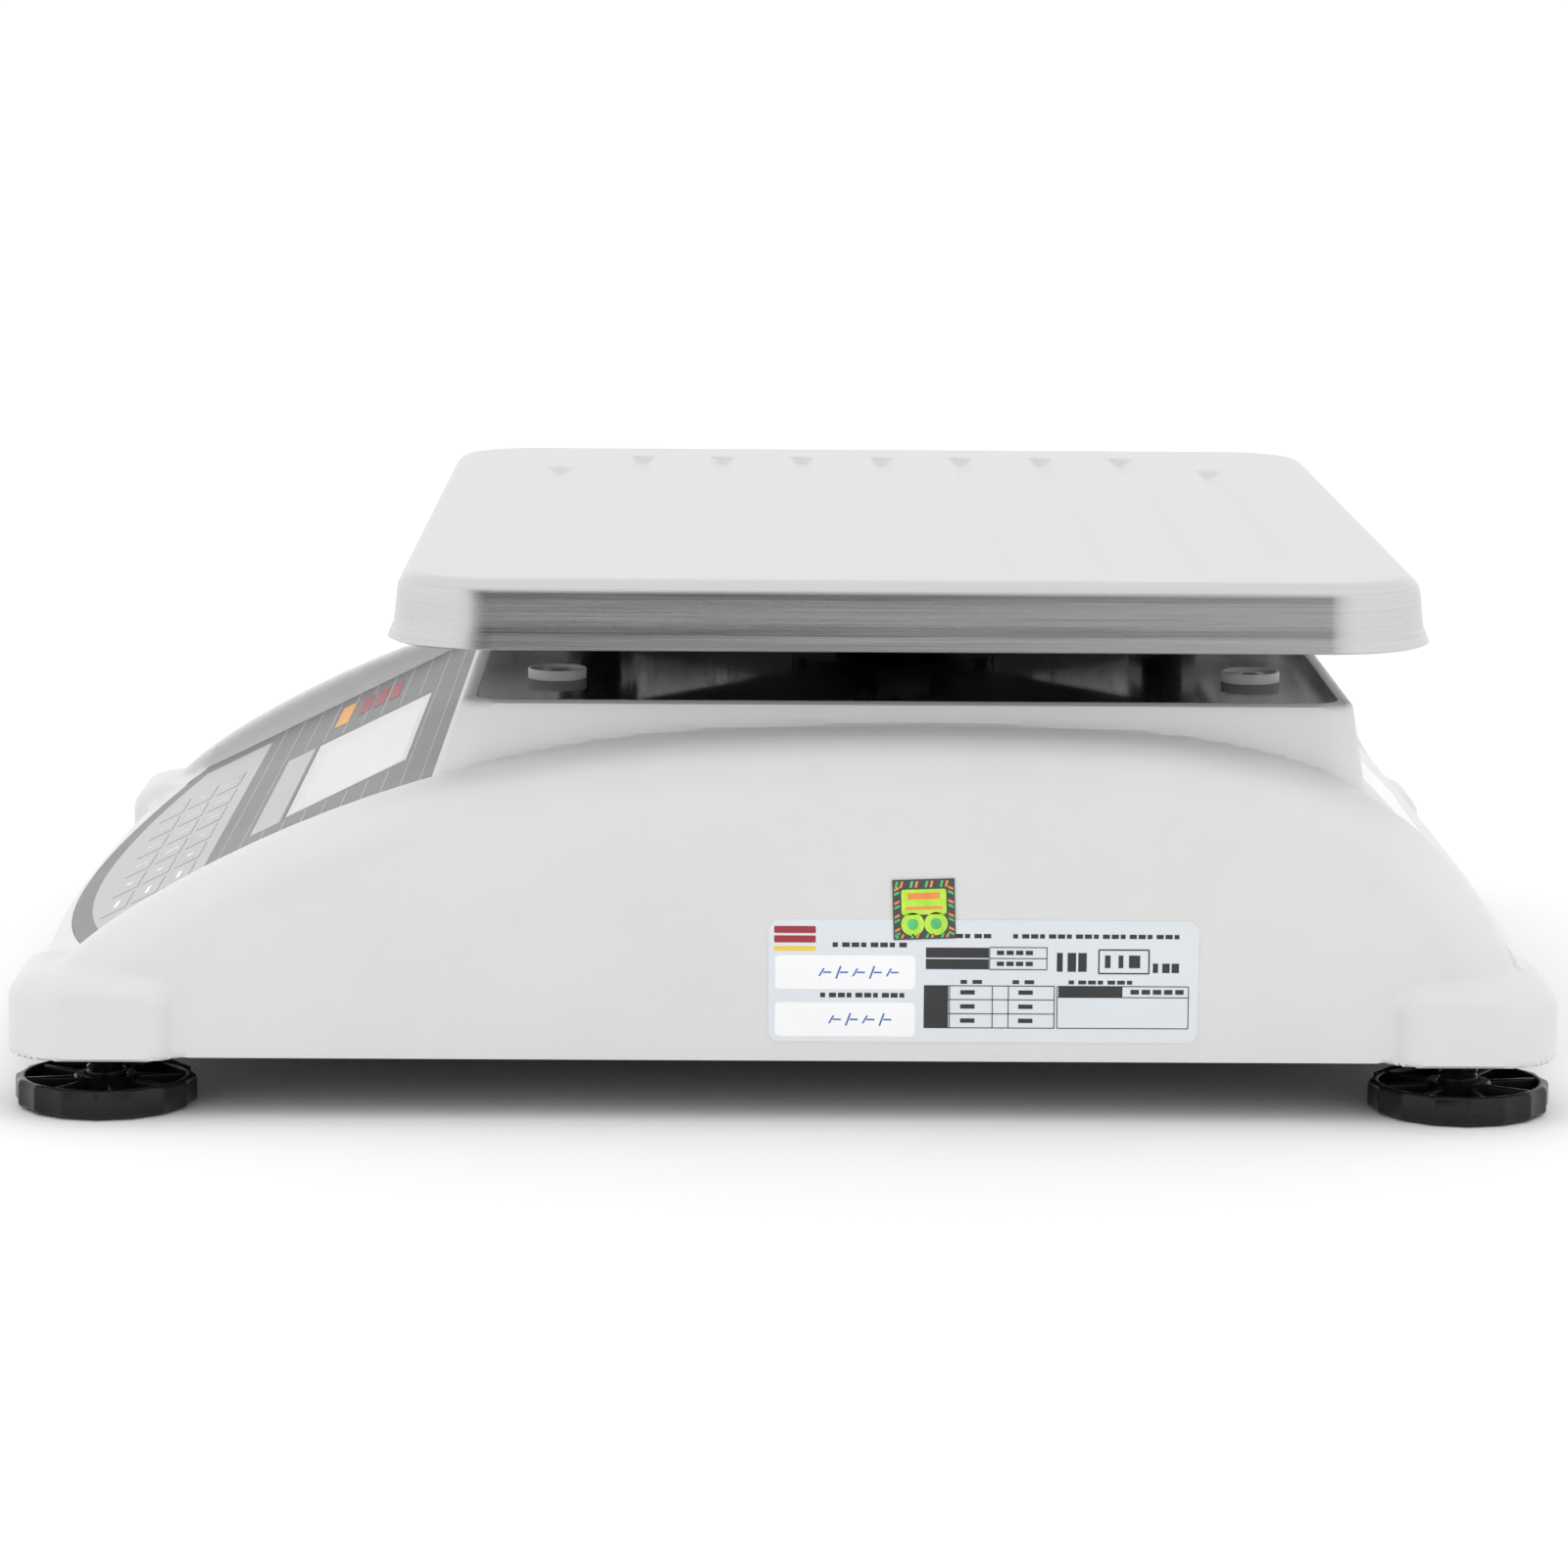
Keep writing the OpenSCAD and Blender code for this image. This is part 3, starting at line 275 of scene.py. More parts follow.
def skin_form(xs, ys, zs, form):
    """A mesh of quads on the form's surface, one corner in each grid cell that the surface crosses."""
    field = form(xs[:, None, None], ys[None, :, None], zs[None, None, :])
    axes = (xs, ys, zs)
    shape = np.array(field.shape) - 1
    strides = np.array([shape[1] * shape[2], shape[2], 1])
    totals = np.zeros((4, shape.prod()))
    quads = []
    for axis in range(3):
        low = field.take(range(field.shape[axis] - 1), axis)
        high = field.take(range(1, field.shape[axis]), axis)
        spots = np.argwhere((low < 0) != (high < 0))
        a = low[tuple(spots.T)]
        b = high[tuple(spots.T)]
        t = a / (a - b)
        corner = np.stack([axes[k][spots[:, k]] for k in range(3)], 1)
        corner[:, axis] += t * (axes[axis][spots[:, axis] + 1] - axes[axis][spots[:, axis]])
        u, v = [(1, 2), (2, 0), (0, 1)][axis]
        around = []
        for du, dv in ((-1, -1), (0, -1), (0, 0), (-1, 0)):
            cell = spots.copy()
            cell[:, u] += du
            cell[:, v] += dv
            index = cell @ strides
            around.append(index)
            for k in range(3):
                totals[k] += np.bincount(index, corner[:, k], totals.shape[1])
            totals[3] += np.bincount(index, minlength=totals.shape[1])
        ring = np.stack(around, 1)
        quads.append(np.where((a < 0)[:, None], ring, ring[:, ::-1]))
    used = np.flatnonzero(totals[3])
    points = (totals[:3, used] / totals[3, used]).T
    renumber = np.zeros(totals.shape[1], int)
    renumber[used] = np.arange(len(used))
    tiny = 0.02
    for _ in range(3):
        value = form(*points.T)
        slope = np.stack([(form(*(points + step).T) - value) / tiny for step in np.eye(3) * tiny], 1)
        size = np.maximum((slope**2).sum(1), 0.3)
        points = points - slope * (np.clip(value, -1, 1) / size)[:, None]
    return points, renumber[np.concatenate(quads)]


def new_object(name, points, faces):
    mesh = bpy.data.meshes.new(name)
    mesh.from_pydata([tuple(p) for p in points], [], [tuple(f) for f in faces])
    mesh.update()
    made = bpy.data.objects.new(name, mesh)
    bpy.context.scene.collection.objects.link(made)
    return made


def spaced(*spans):
    """Grid lines from a list of (start, end, spacing) spans that follow one another."""
    lines = [np.linspace(a, b, max(2, round((b - a) / step) + 1))[:-1] for a, b, step in spans]
    return np.append(np.concatenate(lines), spans[-1][1])


def put_on_slope(points, origin_y, origin_z, slope):
    """Moves points drawn as (across, up the slope, out of it) onto a sloping panel."""
    turn = Matrix.Rotation(slope, 3, "X")
    return [turn @ Vector(p) + Vector((0, origin_y, origin_z)) for p in points]


def prism(outline, low, high):
    """Corners and faces of an outline drawn flat and raised from low to high."""
    count = len(outline)
    points = [(x, y, low) for x, y in outline] + [(x, y, high) for x, y in outline]
    sides = [(k, (k + 1) % count, count + (k + 1) % count, count + k) for k in range(count)]
    return points, [tuple(range(count - 1, -1, -1)), tuple(range(count, 2 * count))] + sides


def rectangle(x0, x1, y0, y1):
    return [(x0, y0), (x1, y0), (x1, y1), (x0, y1)]


def rounded_rectangle(half_x, half_y, r, mid=(0, 0), steps=8):
    outline = []
    for k, (sx, sy) in enumerate([(1, 1), (-1, 1), (-1, -1), (1, -1)]):
        for i in range(steps + 1):
            a = math.radians(90 * k + 90 * i / steps)
            outline.append((
                mid[0] + sx * (half_x - r) + r * math.cos(a),
                mid[1] + sy * (half_y - r) + r * math.sin(a),
            ))
    return outline


def circle(r, mid=(0, 0), steps=48):
    turns = [math.tau * k / steps for k in range(steps)]
    return [(mid[0] + r * math.cos(a), mid[1] + r * math.sin(a)) for a in turns]


overlay_half_w = 147.4
overlay_low_v = -116
overlay_bow_r = 502


def overlay_outline(gap, top_v=-0.8, sides=overlay_half_w, steps=48):
    """The overlay's outline on the panel, grown by gap, with its bowed lower edge."""
    mid_v = overlay_low_v + overlay_bow_r
    half = sides + gap
    xs = [half * (2 * k / steps - 1) for k in range(steps + 1)]
    low = [(x, mid_v - math.sqrt((overlay_bow_r + gap) ** 2 - x * x)) for x in xs]
    return low + [(half, top_v + gap), (-half, top_v + gap)]


overlay_t = 0.8
window_low_v, window_high_v = -48.5, -12.3
operator_panel = (panel_y, panel_top_z, panel_slope)
customer_panel = (rear_y, rear_top_z, -rear_slope)
fit_gap = 0.2
deck_half_x = 144.4 + fit_gap
deck_half_y = 108.7 + fit_gap
deck_sheet = 1.2
vial_spot = (-122, pan_y)
column_spot = (0, pan_y)
panel_deep, deck_deep, vial_deep = -6, deck_z - 6, deck_z - 3
panel_over, deck_over = 4, deck_z + 2
window_ledge = 2
display_view = rectangle(-60, 60, window_low_v + window_ledge, window_high_v - window_ledge)
collar_spots = [(sx * 106, pan_y + sy * 89.5) for sx in (-1, 1) for sy in (-1, 1)]
housing_cuts = [
    (operator_panel, overlay_outline(fit_gap), -overlay_t, panel_over),
    (operator_panel, display_view, panel_deep, panel_over),
    (operator_panel, rectangle(-88.1, 88.1, -101.8, -73.8), panel_deep, panel_over),
    (customer_panel, rectangle(-55.2, 55.2, 13.8, 44.2), -overlay_t, panel_over),
    (customer_panel, rectangle(-53, 53, 16, 42), panel_deep, panel_over),
    (None, rounded_rectangle(deck_half_x, deck_half_y, 7.2, column_spot), deck_z - deck_sheet, deck_over),
    (None, circle(23, column_spot, 96), deck_deep, deck_over),
    (None, circle(8.2, vial_spot), vial_deep, deck_over),
] + [(None, circle(2.6, spot, 24), deck_deep, deck_over) for spot in collar_spots]

outside = new_object("housing_shell", *skin_form(
    spaced((-174, -126, 1.5), (-126, 126, 9), (126, 174, 1.5)),
    spaced((-202, -150, 1.6), (-150, 140, 2.2), (140, 202, 1.6)),
    spaced((12, 108, 1.5)),
    housing_outside,
))
cavity = new_object("housing_cavity", *skin_form(
    spaced((-172, -120, 4), (-120, 120, 12), (120, 172, 4)),
    spaced((-200, 200, 4)),
    spaced((4, 106, 3.5)),
    housing_inside,
))
cutters = [cavity]
for k, (panel, outline, low, high) in enumerate(housing_cuts):
    points, faces = prism(outline, low, high)
    cutters.append(new_object(f"housing_cut_{k}", put_on_slope(points, *panel) if panel else points, faces))
side_openings = [(129.9, 42, 27.4, 19.4), (95.9, 42, 15.4, 21.4)]
side_out_x, side_in_x = -167, -160
for k, (y, z, width, height) in enumerate(side_openings):
    outline = rectangle(y - width / 2, y + width / 2, z - height / 2, z + height / 2)
    points, faces = prism(outline, side_out_x, side_in_x)
    cutters.append(new_object(f"housing_side_cut_{k}", [(p[2], p[0], p[1]) for p in points], faces))


def apply_modifiers(target):
    depsgraph = bpy.context.evaluated_depsgraph_get()
    result = bpy.data.meshes.new_from_object(target.evaluated_get(depsgraph))
    target.modifiers.clear()
    old = target.data
    target.data = result
    bpy.data.meshes.remove(old)
    return result


def cut_away(target, tools):
    """Cuts the tools out of the target, applies the result to its mesh and removes the tools."""
    for tool in tools:
        cut = target.modifiers.new("cut", "BOOLEAN")
        cut.operation = "DIFFERENCE"
        cut.solver = "MANIFOLD"
        cut.object = tool
    apply_modifiers(target)
    for tool in tools:
        bpy.data.meshes.remove(tool.data)


MM = 0.001


def settle(target, sharp=30):
    """Applies the modifiers, turns millimetres into metres and marks the sharp edges."""
    result = apply_modifiers(target)
    result.transform(Matrix.Scale(MM, 4))
    result.shade_smooth()
    result.set_sharp_from_angle(angle=math.radians(sharp))


cut_away(outside, cutters)
settle(outside, 48)


def effect_group(name, inputs, outputs):
    """A shader node group with plain number sockets, and its inner input and output nodes."""
    tree = bpy.data.node_groups.new(name, "ShaderNodeTree")
    number = "NodeSocketFloat"
    for title, value in inputs.items():
        socket = tree.interface.new_socket(name=title, in_out="INPUT", socket_type=number)
        socket.default_value = value
    for title in outputs:
        tree.interface.new_socket(name=title, in_out="OUTPUT", socket_type=number)
    return tree, tree.nodes.new("NodeGroupInput"), tree.nodes.new("NodeGroupOutput")


def build_moulded_grain():
    """Fine moulded grain and faint handling marks, for plastics and rubber."""
    sizes = {"Grain Size": 900, "Mark Size": 22}
    tree, given, out = effect_group("moulded_grain", sizes, ["Height", "Marks"])
    place = add_node(tree, "TexCoord")
    grain = add_node(tree, "TexNoise", {"Detail": 3})
    marks = add_node(tree, "TexNoise", {"Detail": 6, "Roughness": 0.62})
    spread = add_node(tree, "MapRange", {"From Min": 0.35, "From Max": 0.65})
    link_nodes(
        tree,
        (place.outputs["Object"], grain.inputs["Vector"]),
        (place.outputs["Object"], marks.inputs["Vector"]),
        (given.outputs["Grain Size"], grain.inputs["Scale"]),
        (given.outputs["Mark Size"], marks.inputs["Scale"]),
        (marks.outputs["Fac"], spread.inputs["Value"]),
        (grain.outputs["Fac"], out.inputs["Height"]),
        (spread.outputs["Result"], out.inputs["Marks"]),
    )
    return tree


moulded_grain = build_moulded_grain()


def place_effect(tree, group, **values):
    """A shared effect placed in a material: its sockets' names are written with underscores."""
    node = add_node(tree, "Group", node_tree=group)
    for name, value in values.items():
        node.inputs[name.replace("_", " ").title()].default_value = value
    return node


def add_bump(tree, height, strength, distance):
    bump = add_node(tree, "Bump", {"Strength": strength, "Distance": distance})
    tree.links.new(height, bump.inputs["Height"])
    return bump.outputs["Normal"]


def moulded(name, dark, light, rough, grain_size=900, grain_depth=0.03, mark_size=22, coat=0.0, metal=0.0):
    """A moulded or rubbery finish: close tones, roughness between two values and a fine grain."""
    material, tree, shader = new_material(name)
    shader.inputs["Coat Weight"].default_value = coat
    shader.inputs["Coat Roughness"].default_value = 0.06
    shader.inputs["Metallic"].default_value = metal
    grain = place_effect(tree, moulded_grain, grain_size=grain_size, mark_size=mark_size)
    link_nodes(
        tree,
        (ramp_between(tree, grain.outputs["Marks"], dark, light), shader.inputs["Base Color"]),
        (ramp_between(tree, grain.outputs["Marks"], *rough), shader.inputs["Roughness"]),
        (add_bump(tree, grain.outputs["Height"], grain_depth, 0.0004), shader.inputs["Normal"]),
    )
    return material


white_abs = moulded("white_abs", (0.67, 0.67, 0.667), (0.695, 0.695, 0.692), (0.3, 0.38), 1100, 0.04)


def fit(piece, body, slot, *stands_for):
    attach(piece, body)
    if stands_for:
        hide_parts(*stands_for)


outside.data.materials.clear()
outside.data.materials.append(white_abs)
fit(outside, "housing", "housing", "upper_housing")


# The pan is one deep-drawn sheet of stainless steel with pressed grooves, a brushed rim that
# spreads a little downwards, and a narrow lip at its lower edge. It sits on four rubber pads.
pan_half_x, pan_half_y = 165, 128.5
pan_top_z = 136
pan_edge_r = 5
pan_corner_r = 24
pan_sheet = 1.0
groove_pitch = 23.9
groove_half_w = 4.5
groove_depth = 1.4
outermost_groove = 4
groove_half_l = 138
outer_groove_half_l = 106
flat_half_x = pan_half_x - pan_edge_r
flat_half_y = pan_half_y - pan_edge_r
flat_corner_r = pan_corner_r - pan_edge_r


def groove_drop(x, y):
    drop = 0
    for k in range(-outermost_groove, outermost_groove + 1):
        half = outer_groove_half_l if abs(k) == outermost_groove else groove_half_l
        off = math.hypot(max(abs(x) - half + groove_half_w, 0), y - k * groove_pitch) / groove_half_w
        if off < 1:
            drop = groove_depth * (0.5 + 0.5 * math.cos(math.pi * off)) ** 0.8
    return drop


corner_turns = [math.radians(a) for a in range(0, 91, 9)]
straight_y = flat_half_y - flat_corner_r
side_rows = [straight_y + flat_corner_r * math.sin(a) for a in corner_turns[1:]]
middle_rows = list(np.linspace(-straight_y, straight_y, 241))
pan_rows = [-y for y in reversed(side_rows)] + middle_rows + side_rows
pan_columns = spaced((-1, -0.62, 0.016), (-0.62, 0.62, 0.04), (0.62, 1, 0.016))


def row_half(y):
    into_corner = max(abs(y) - straight_y, 0)
    return flat_half_x - flat_corner_r + math.sqrt(max(flat_corner_r**2 - into_corner**2, 0))


pan_points = []
for y in pan_rows:
    for u in pan_columns:
        x = u * row_half(y)
        pan_points.append((x, y, pan_top_z - groove_drop(x, y)))
columns, rows = len(pan_columns), len(pan_rows)
pan_faces = []
for j in range(rows - 1):
    for i in range(columns - 1):
        a = j * columns + i
        pan_faces.append((a, a + 1, a + columns + 1, a + columns))
pan_border = list(range(columns))
pan_border += [j * columns + columns - 1 for j in range(1, rows)]
pan_border += [(rows - 1) * columns + i for i in range(columns - 2, -1, -1)]
pan_border += [j * columns for j in range(rows - 2, 0, -1)]
pan_rim = [(pan_edge_r * math.sin(a), pan_top_z - pan_edge_r * (1 - math.cos(a)))
           for a in [math.radians(15 * k) for k in range(1, 7)]]
rim_spread = [(0.3, 128.5), (0.6, 125.5), (0.9, 123.2)]
rim_spread += [(1.1, 122.5), (1.45, 121.8), (1.9, 120.6), (2.5, 119.2)]
pan_rim += [(pan_edge_r + out, z) for out, z in rim_spread]


def border_normal(x, y):
    nx = max(abs(x) - flat_half_x + flat_corner_r, 0) * (1 if x > 0 else -1)
    ny = max(abs(y) - flat_half_y + flat_corner_r, 0) * (1 if y > 0 else -1)
    size = math.hypot(nx, ny)
    return nx / size, ny / size


pan_ring = pan_border
for out, z in pan_rim:
    next_ring = []
    for index in pan_border:
        x, y, _ = pan_points[index]
        nx, ny = border_normal(x, y)
        next_ring.append(len(pan_points))
        pan_points.append((x + nx * out, y + ny * out, z))
    for k, index in enumerate(pan_ring):
        after = (k + 1) % len(pan_ring)
        pan_faces.append((pan_ring[after], index, next_ring[k], next_ring[after]))
    pan_ring = next_ring
pan = new_object("steel_pan", [(x, y + pan_y, z) for x, y, z in pan_points], pan_faces)
sheet = pan.modifiers.new("sheet", "SOLIDIFY")
sheet.thickness = pan_sheet
sheet.offset = -1.0
sheet.use_even_offset = True
sheet.material_offset = 1
settle(pan, 50)


def build_brushed_streaks():
    """Fine scratches that run level around upright faces and along X on level ones."""
    tree, given, out = effect_group("brushed_streaks", {"Fineness": 900, "Length": 14}, ["Streaks"])
    place = add_node(tree, "TexCoord")
    face = add_node(tree, "SeparateXYZ")
    level = add_node(tree, "MapRange", {"From Min": 0.55, "From Max": 0.9})
    tree.links.new(place.outputs["Normal"], face.inputs["Vector"])
    tree.links.new(face.outputs["Z"], level.inputs["Value"])
    streaks = []
    for across in ("Z", "Y"):
        size = add_node(tree, "CombineXYZ")
        stretched = add_node(tree, "VectorMath", operation="MULTIPLY")
        scratch = add_node(tree, "TexNoise", {"Scale": 1, "Detail": 4, "Roughness": 0.7})
        for axis in "XYZ":
            tree.links.new(given.outputs["Fineness" if axis == across else "Length"], size.inputs[axis])
        link_nodes(
            tree,
            (place.outputs["Object"], stretched.inputs[0]),
            (size.outputs["Vector"], stretched.inputs[1]),
            (stretched.outputs["Vector"], scratch.inputs["Vector"]),
        )
        streaks.append(scratch.outputs["Fac"])
    faint = add_node(tree, "MapRange", {"To Min": 0.4, "To Max": 0.6})
    choose = add_node(tree, "Mix")
    spread = add_node(tree, "MapRange", {"From Min": 0.3, "From Max": 0.7})
    link_nodes(
        tree,
        (level.outputs["Result"], choose.inputs["Factor"]),
        (streaks[0], choose.inputs["A"]),
        (streaks[1], faint.inputs["Value"]),
        (faint.outputs["Result"], choose.inputs["B"]),
        (choose.outputs["Result"], spread.inputs["Value"]),
        (spread.outputs["Result"], out.inputs["Streaks"]),
    )
    return tree


brushed_streaks = build_brushed_streaks()


def brushed(name, dark, light, rough, fineness=2600, length=22, depth=0.08):
    """Bare metal with fine level scratches."""
    material, tree, shader = new_material(name)
    shader.inputs["Metallic"].default_value = 1
    streaks = place_effect(tree, brushed_streaks, fineness=fineness, length=length).outputs["Streaks"]
    link_nodes(
        tree,
        (ramp_between(tree, streaks, dark, light), shader.inputs["Base Color"]),
        (ramp_between(tree, streaks, *rough), shader.inputs["Roughness"]),
        (add_bump(tree, streaks, depth, 0.0003), shader.inputs["Normal"]),
    )
    return material


def less_gloss(material, level):
    material.node_tree.nodes["Principled BSDF"].inputs["Specular IOR Level"].default_value = level
    return material


pan.data.materials.clear()
pan_steel = brushed("brushed_steel", (0.56, 0.56, 0.555), (0.64, 0.64, 0.635), (0.24, 0.32), 3200, 16, 0.03)
# The sheet's underside is near black with little gloss: painted shade for the dark space under the pan,
# which the gloss deck mirrors.
pan_underside_shade = moulded("pan_underside_shade", 0.035, 0.055, (0.45, 0.6), 700, 0.1)
pan.data.materials.append(pan_steel)
pan.data.materials.append(less_gloss(pan_underside_shade, 0.2))
fit(pan, "pan", "pan", "weighing_pan")


# The deck is a gloss black cover sheet let into the plinth. Its four screws stand in pale drip
# collars, a rolled steel lip edges the column's hole, and a bubble level shows near the left side.
def dress(node, material, bevel=0.0, segments=2):
    """Gives a CAD node its finish and, where it is asked for, small rounded edges."""
    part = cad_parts[node]
    part.data.materials.clear()
    part.data.materials.append(material)
    if bevel:
        weld = part.modifiers.new("weld", "WELD")
        weld.merge_threshold = 0.00001
        edge = part.modifiers.new("rounded_edges", "BEVEL")
        edge.width = bevel
        edge.segments = segments
        edge.limit_method = "ANGLE"
        edge.angle_limit = math.radians(40)


def turned_form(profile, steps, shrink=lambda a, r: 0.0):
    """Turns (radius, height) points around an upright axis; the profile runs anticlockwise."""
    points = []
    for k in range(steps):
        a = math.tau * k / steps
        for r, z in profile:
            reach = r - shrink(a, r)
            points.append((reach * math.cos(a), reach * math.sin(a), z))
    count = len(profile)
    faces = []
    for k in range(steps):
        after = (k + 1) % steps
        for i in range(count):
            j = (i + 1) % count
            faces.append((k * count + i, after * count + i, after * count + j, k * count + j))
    return points, faces


def lathe(name, profile, mid, steps=64):
    points, faces = turned_form(profile, steps)
    return new_object(name, [(mid[0] + x, mid[1] + y, z) for x, y, z in points], faces)


deck_black = (0.004, 0.004, 0.005), (0.009, 0.009, 0.01)
gloss_black = moulded("gloss_black_sheet", *deck_black, (0.05, 0.09), 700, 0.01)
dress("deck_plate", less_gloss(gloss_black, 0.06), 0.0003)
collar_grey = moulded("collar_plastic", (0.74, 0.74, 0.73), (0.8, 0.8, 0.79), (0.35, 0.45), 1000, 0.05)
collar_profile = [(4.0, 103.4), (7.4, 103.4), (7.5, 103.5), (7.5, 105.9), (7.4, 106.05), (7.2, 106.1),
                  (6.9, 106.1), (6.75, 106.0), (6.6, 105.6), (6.5, 103.9), (4.0, 103.8)]
for k, spot in enumerate(collar_spots):
    collar = lathe(f"drip_collar_{k + 1}", collar_profile, spot)
    settle(collar, 40)
    collar.data.materials.append(collar_grey)
    fit(collar, "housing", "collar", *(["deck_collars"] if k == 0 else []))
lip_profile = [(23.2, 103.38), (25.6, 103.38), (25.3, 103.9), (24.7, 104.5), (24.1, 104.7)]
lip_profile += [(23.5, 104.5), (23.2, 104.0)]
column_lip = lathe("column_lip", lip_profile, column_spot, 96)
settle(column_lip, 60)
lip_steel = brushed("rolled_lip_steel", 0.5, 0.62, (0.2, 0.3), 2400, 30, 0.04)
column_lip.data.materials.append(lip_steel)
fit(column_lip, "housing", "fastener")
zinc_grey = (0.42, 0.42, 0.43), (0.56, 0.56, 0.57)
fastener_steel = brushed("zinc_plated_steel", *zinc_grey, (0.28, 0.42), 1800, 200)
for node in ("deck_screws", "housing_screws", "board_screws", "load_cell_bolts", "bracket_bolts"):
    dress(node, fastener_steel)


def clear(name, tint, rough, transmission):
    """Clear plastic or liquid, with a faint unevenness in its polish."""
    material, tree, shader = new_material(name)
    shader.inputs["Transmission Weight"].default_value = transmission
    shader.inputs["IOR"].default_value = 1.49
    grain = place_effect(tree, moulded_grain, grain_size=300, mark_size=30)
    soft = tuple(c * 0.97 for c in tint)
    link_nodes(
        tree,
        (ramp_between(tree, grain.outputs["Marks"], soft, tint), shader.inputs["Base Color"]),
        (ramp_between(tree, grain.outputs["Marks"], rough, rough + 0.05), shader.inputs["Roughness"]),
    )
    return material


dress("level_vial", clear("level_liquid", (0.62, 0.85, 0.3), 0.03, 0.75), 0.0004)
level_ring = lathe("level_ring", [(4.2, 104.92), (4.6, 104.92), (4.6, 104.97), (4.2, 104.97)], vial_spot)
settle(level_ring)
level_black = moulded("print_black", (0.02, 0.02, 0.022), (0.035, 0.035, 0.037), (0.4, 0.5), 1500, 0.02)
level_ring.data.materials.append(level_black)
fit(level_ring, "housing", "vial")


# The operator's overlay is a grey polyester membrane in a shallow recess. It carries printed
# zones, hairlines and a small accent bar, and clear windows over the display and the indicators.
overlay_grey = moulded("overlay_grey", (0.16, 0.162, 0.165), (0.18, 0.182, 0.185), (0.4, 0.48), 1400, 0.04)
key_rows_v = (-78.6, -87.8, -97.0)
key_columns_x = (-75, -45, -15, 15, 45, 75)
key_half_w, key_half_l = 12, 3.7
key_slit = 0.04


def on_operator_panel(name, outline, low, high):
    points, faces = prism(outline, low, high)
    return new_object(name, put_on_slope(points, *operator_panel), faces)


overlay = on_operator_panel("membrane_overlay", overlay_outline(0, steps=96), -overlay_t, 0)
overlay_holes = [rectangle(-62.2, 62.2, window_low_v - fit_gap, window_high_v + fit_gap)]
reach_x, reach_v = key_half_w + key_slit, key_half_l + key_slit
for v in key_rows_v:
    for x in key_columns_x:
        overlay_holes.append(rectangle(x - reach_x, x + reach_x, v - reach_v, v + reach_v))
cut_away(overlay, [on_operator_panel(f"overlay_hole_{k}", o, -2, 2) for k, o in enumerate(overlay_holes)])
settle(overlay)
overlay.data.materials.clear()
overlay.data.materials.append(overlay_grey)
fit(overlay, "housing", "overlay", "keypad_overlay")
print_light = moulded("print_light_grey", (0.44, 0.445, 0.45), (0.47, 0.475, 0.48), (0.34, 0.42), 1400, 0.05)
print_white = moulded("print_white", 0.88, 0.93, (0.35, 0.45), 1400, 0.04)
print_amber = moulded("print_amber", (0.78, 0.32, 0.05), (0.84, 0.37, 0.07), (0.35, 0.45), 1400, 0.04)


def add_form(points, faces, form):
    more, sides = form
    faces += [tuple(i + len(points) for i in face) for face in sides]
    points += [tuple(p) for p in more]


def joined_prisms(shapes, low, high):
    points, faces = [], []
    for outline in shapes:
        add_form(points, faces, prism(outline, low, high))
    return points, faces


def printed(name, shapes, lift, material):
    """Thin raised print on the operator panel: flat outlines joined in one piece."""
    ink_thick = 0.04
    points, faces = joined_prisms(shapes, lift, lift + ink_thick)
    print_film = new_object(name, put_on_slope(points, *operator_panel), faces)
    settle(print_film)
    print_film.data.materials.append(material)
    fit(print_film, "housing", "overlay")


zone_half, zone_high_v, zone_in = 131, -70.5, 6
keys_half, keys_high_v, keys_low_v = 87.1, -74.8, -100.8
column_gap_half, row_gap_half = 2.9, 12.1
row_gap_low, row_gap_high = 5.4, 3.8


def zone_edge(x0, x1, steps=12):
    """The lower edge of the keypad zone, which follows the overlay's bow."""
    radius = overlay_bow_r - zone_in
    mid_v = overlay_low_v + overlay_bow_r
    return [(x, mid_v - math.sqrt(radius**2 - x * x)) for x in np.linspace(x0, x1, steps + 1)]


def zone_strips():
    """The light keypad zone as strips that leave the keys free."""
    strips = [rectangle(-zone_half, zone_half, keys_high_v, zone_high_v)]
    strips.append(zone_edge(-keys_half, keys_half, 24) + [(keys_half, keys_low_v), (-keys_half, keys_low_v)])
    strips.append(zone_edge(-zone_half, -keys_half) + [(-keys_half, keys_high_v), (-zone_half, keys_high_v)])
    strips.append(zone_edge(keys_half, zone_half) + [(zone_half, keys_high_v), (keys_half, keys_high_v)])
    for x in (-60, -30, 0, 30, 60):
        strips.append(rectangle(x - column_gap_half, x + column_gap_half, keys_low_v, keys_high_v))
    for v in key_rows_v[:-1]:
        for x in key_columns_x:
            strips.append(rectangle(x - row_gap_half, x + row_gap_half, v - row_gap_low, v - row_gap_high))
    return strips


print_lift, accent_lift = 0.005, 0.05
printed("keypad_zone_print", zone_strips(), print_lift, print_light)
printed("indicator_strip_print", [rectangle(-62, 66, -58.6, -49.8)], print_lift, print_light)
hairlines = []
hairline_pitch, hairline_half = 6.2, 0.14
hairline_end_x, hairline_gap_x = 146.5, 67
for v in [-4.5 - hairline_pitch * k for k in range(11)]:
    low_v, high_v = v - hairline_half, v + hairline_half
    if v > window_high_v or v < -59:
        hairlines.append(rectangle(-hairline_end_x, hairline_end_x, low_v, high_v))
    else:
        hairlines.append(rectangle(-hairline_end_x, -hairline_gap_x, low_v, high_v))
        hairlines.append(rectangle(hairline_gap_x, hairline_end_x, low_v, high_v))
printed("hairline_print", hairlines, print_lift, print_light)
printed("accent_bar_print", [rectangle(-128, -88, -46, -41.5)], accent_lift, print_amber)
print_maroon = moulded("print_maroon", (0.3, 0.02, 0.04), (0.36, 0.03, 0.05), (0.35, 0.45), 1400, 0.03)
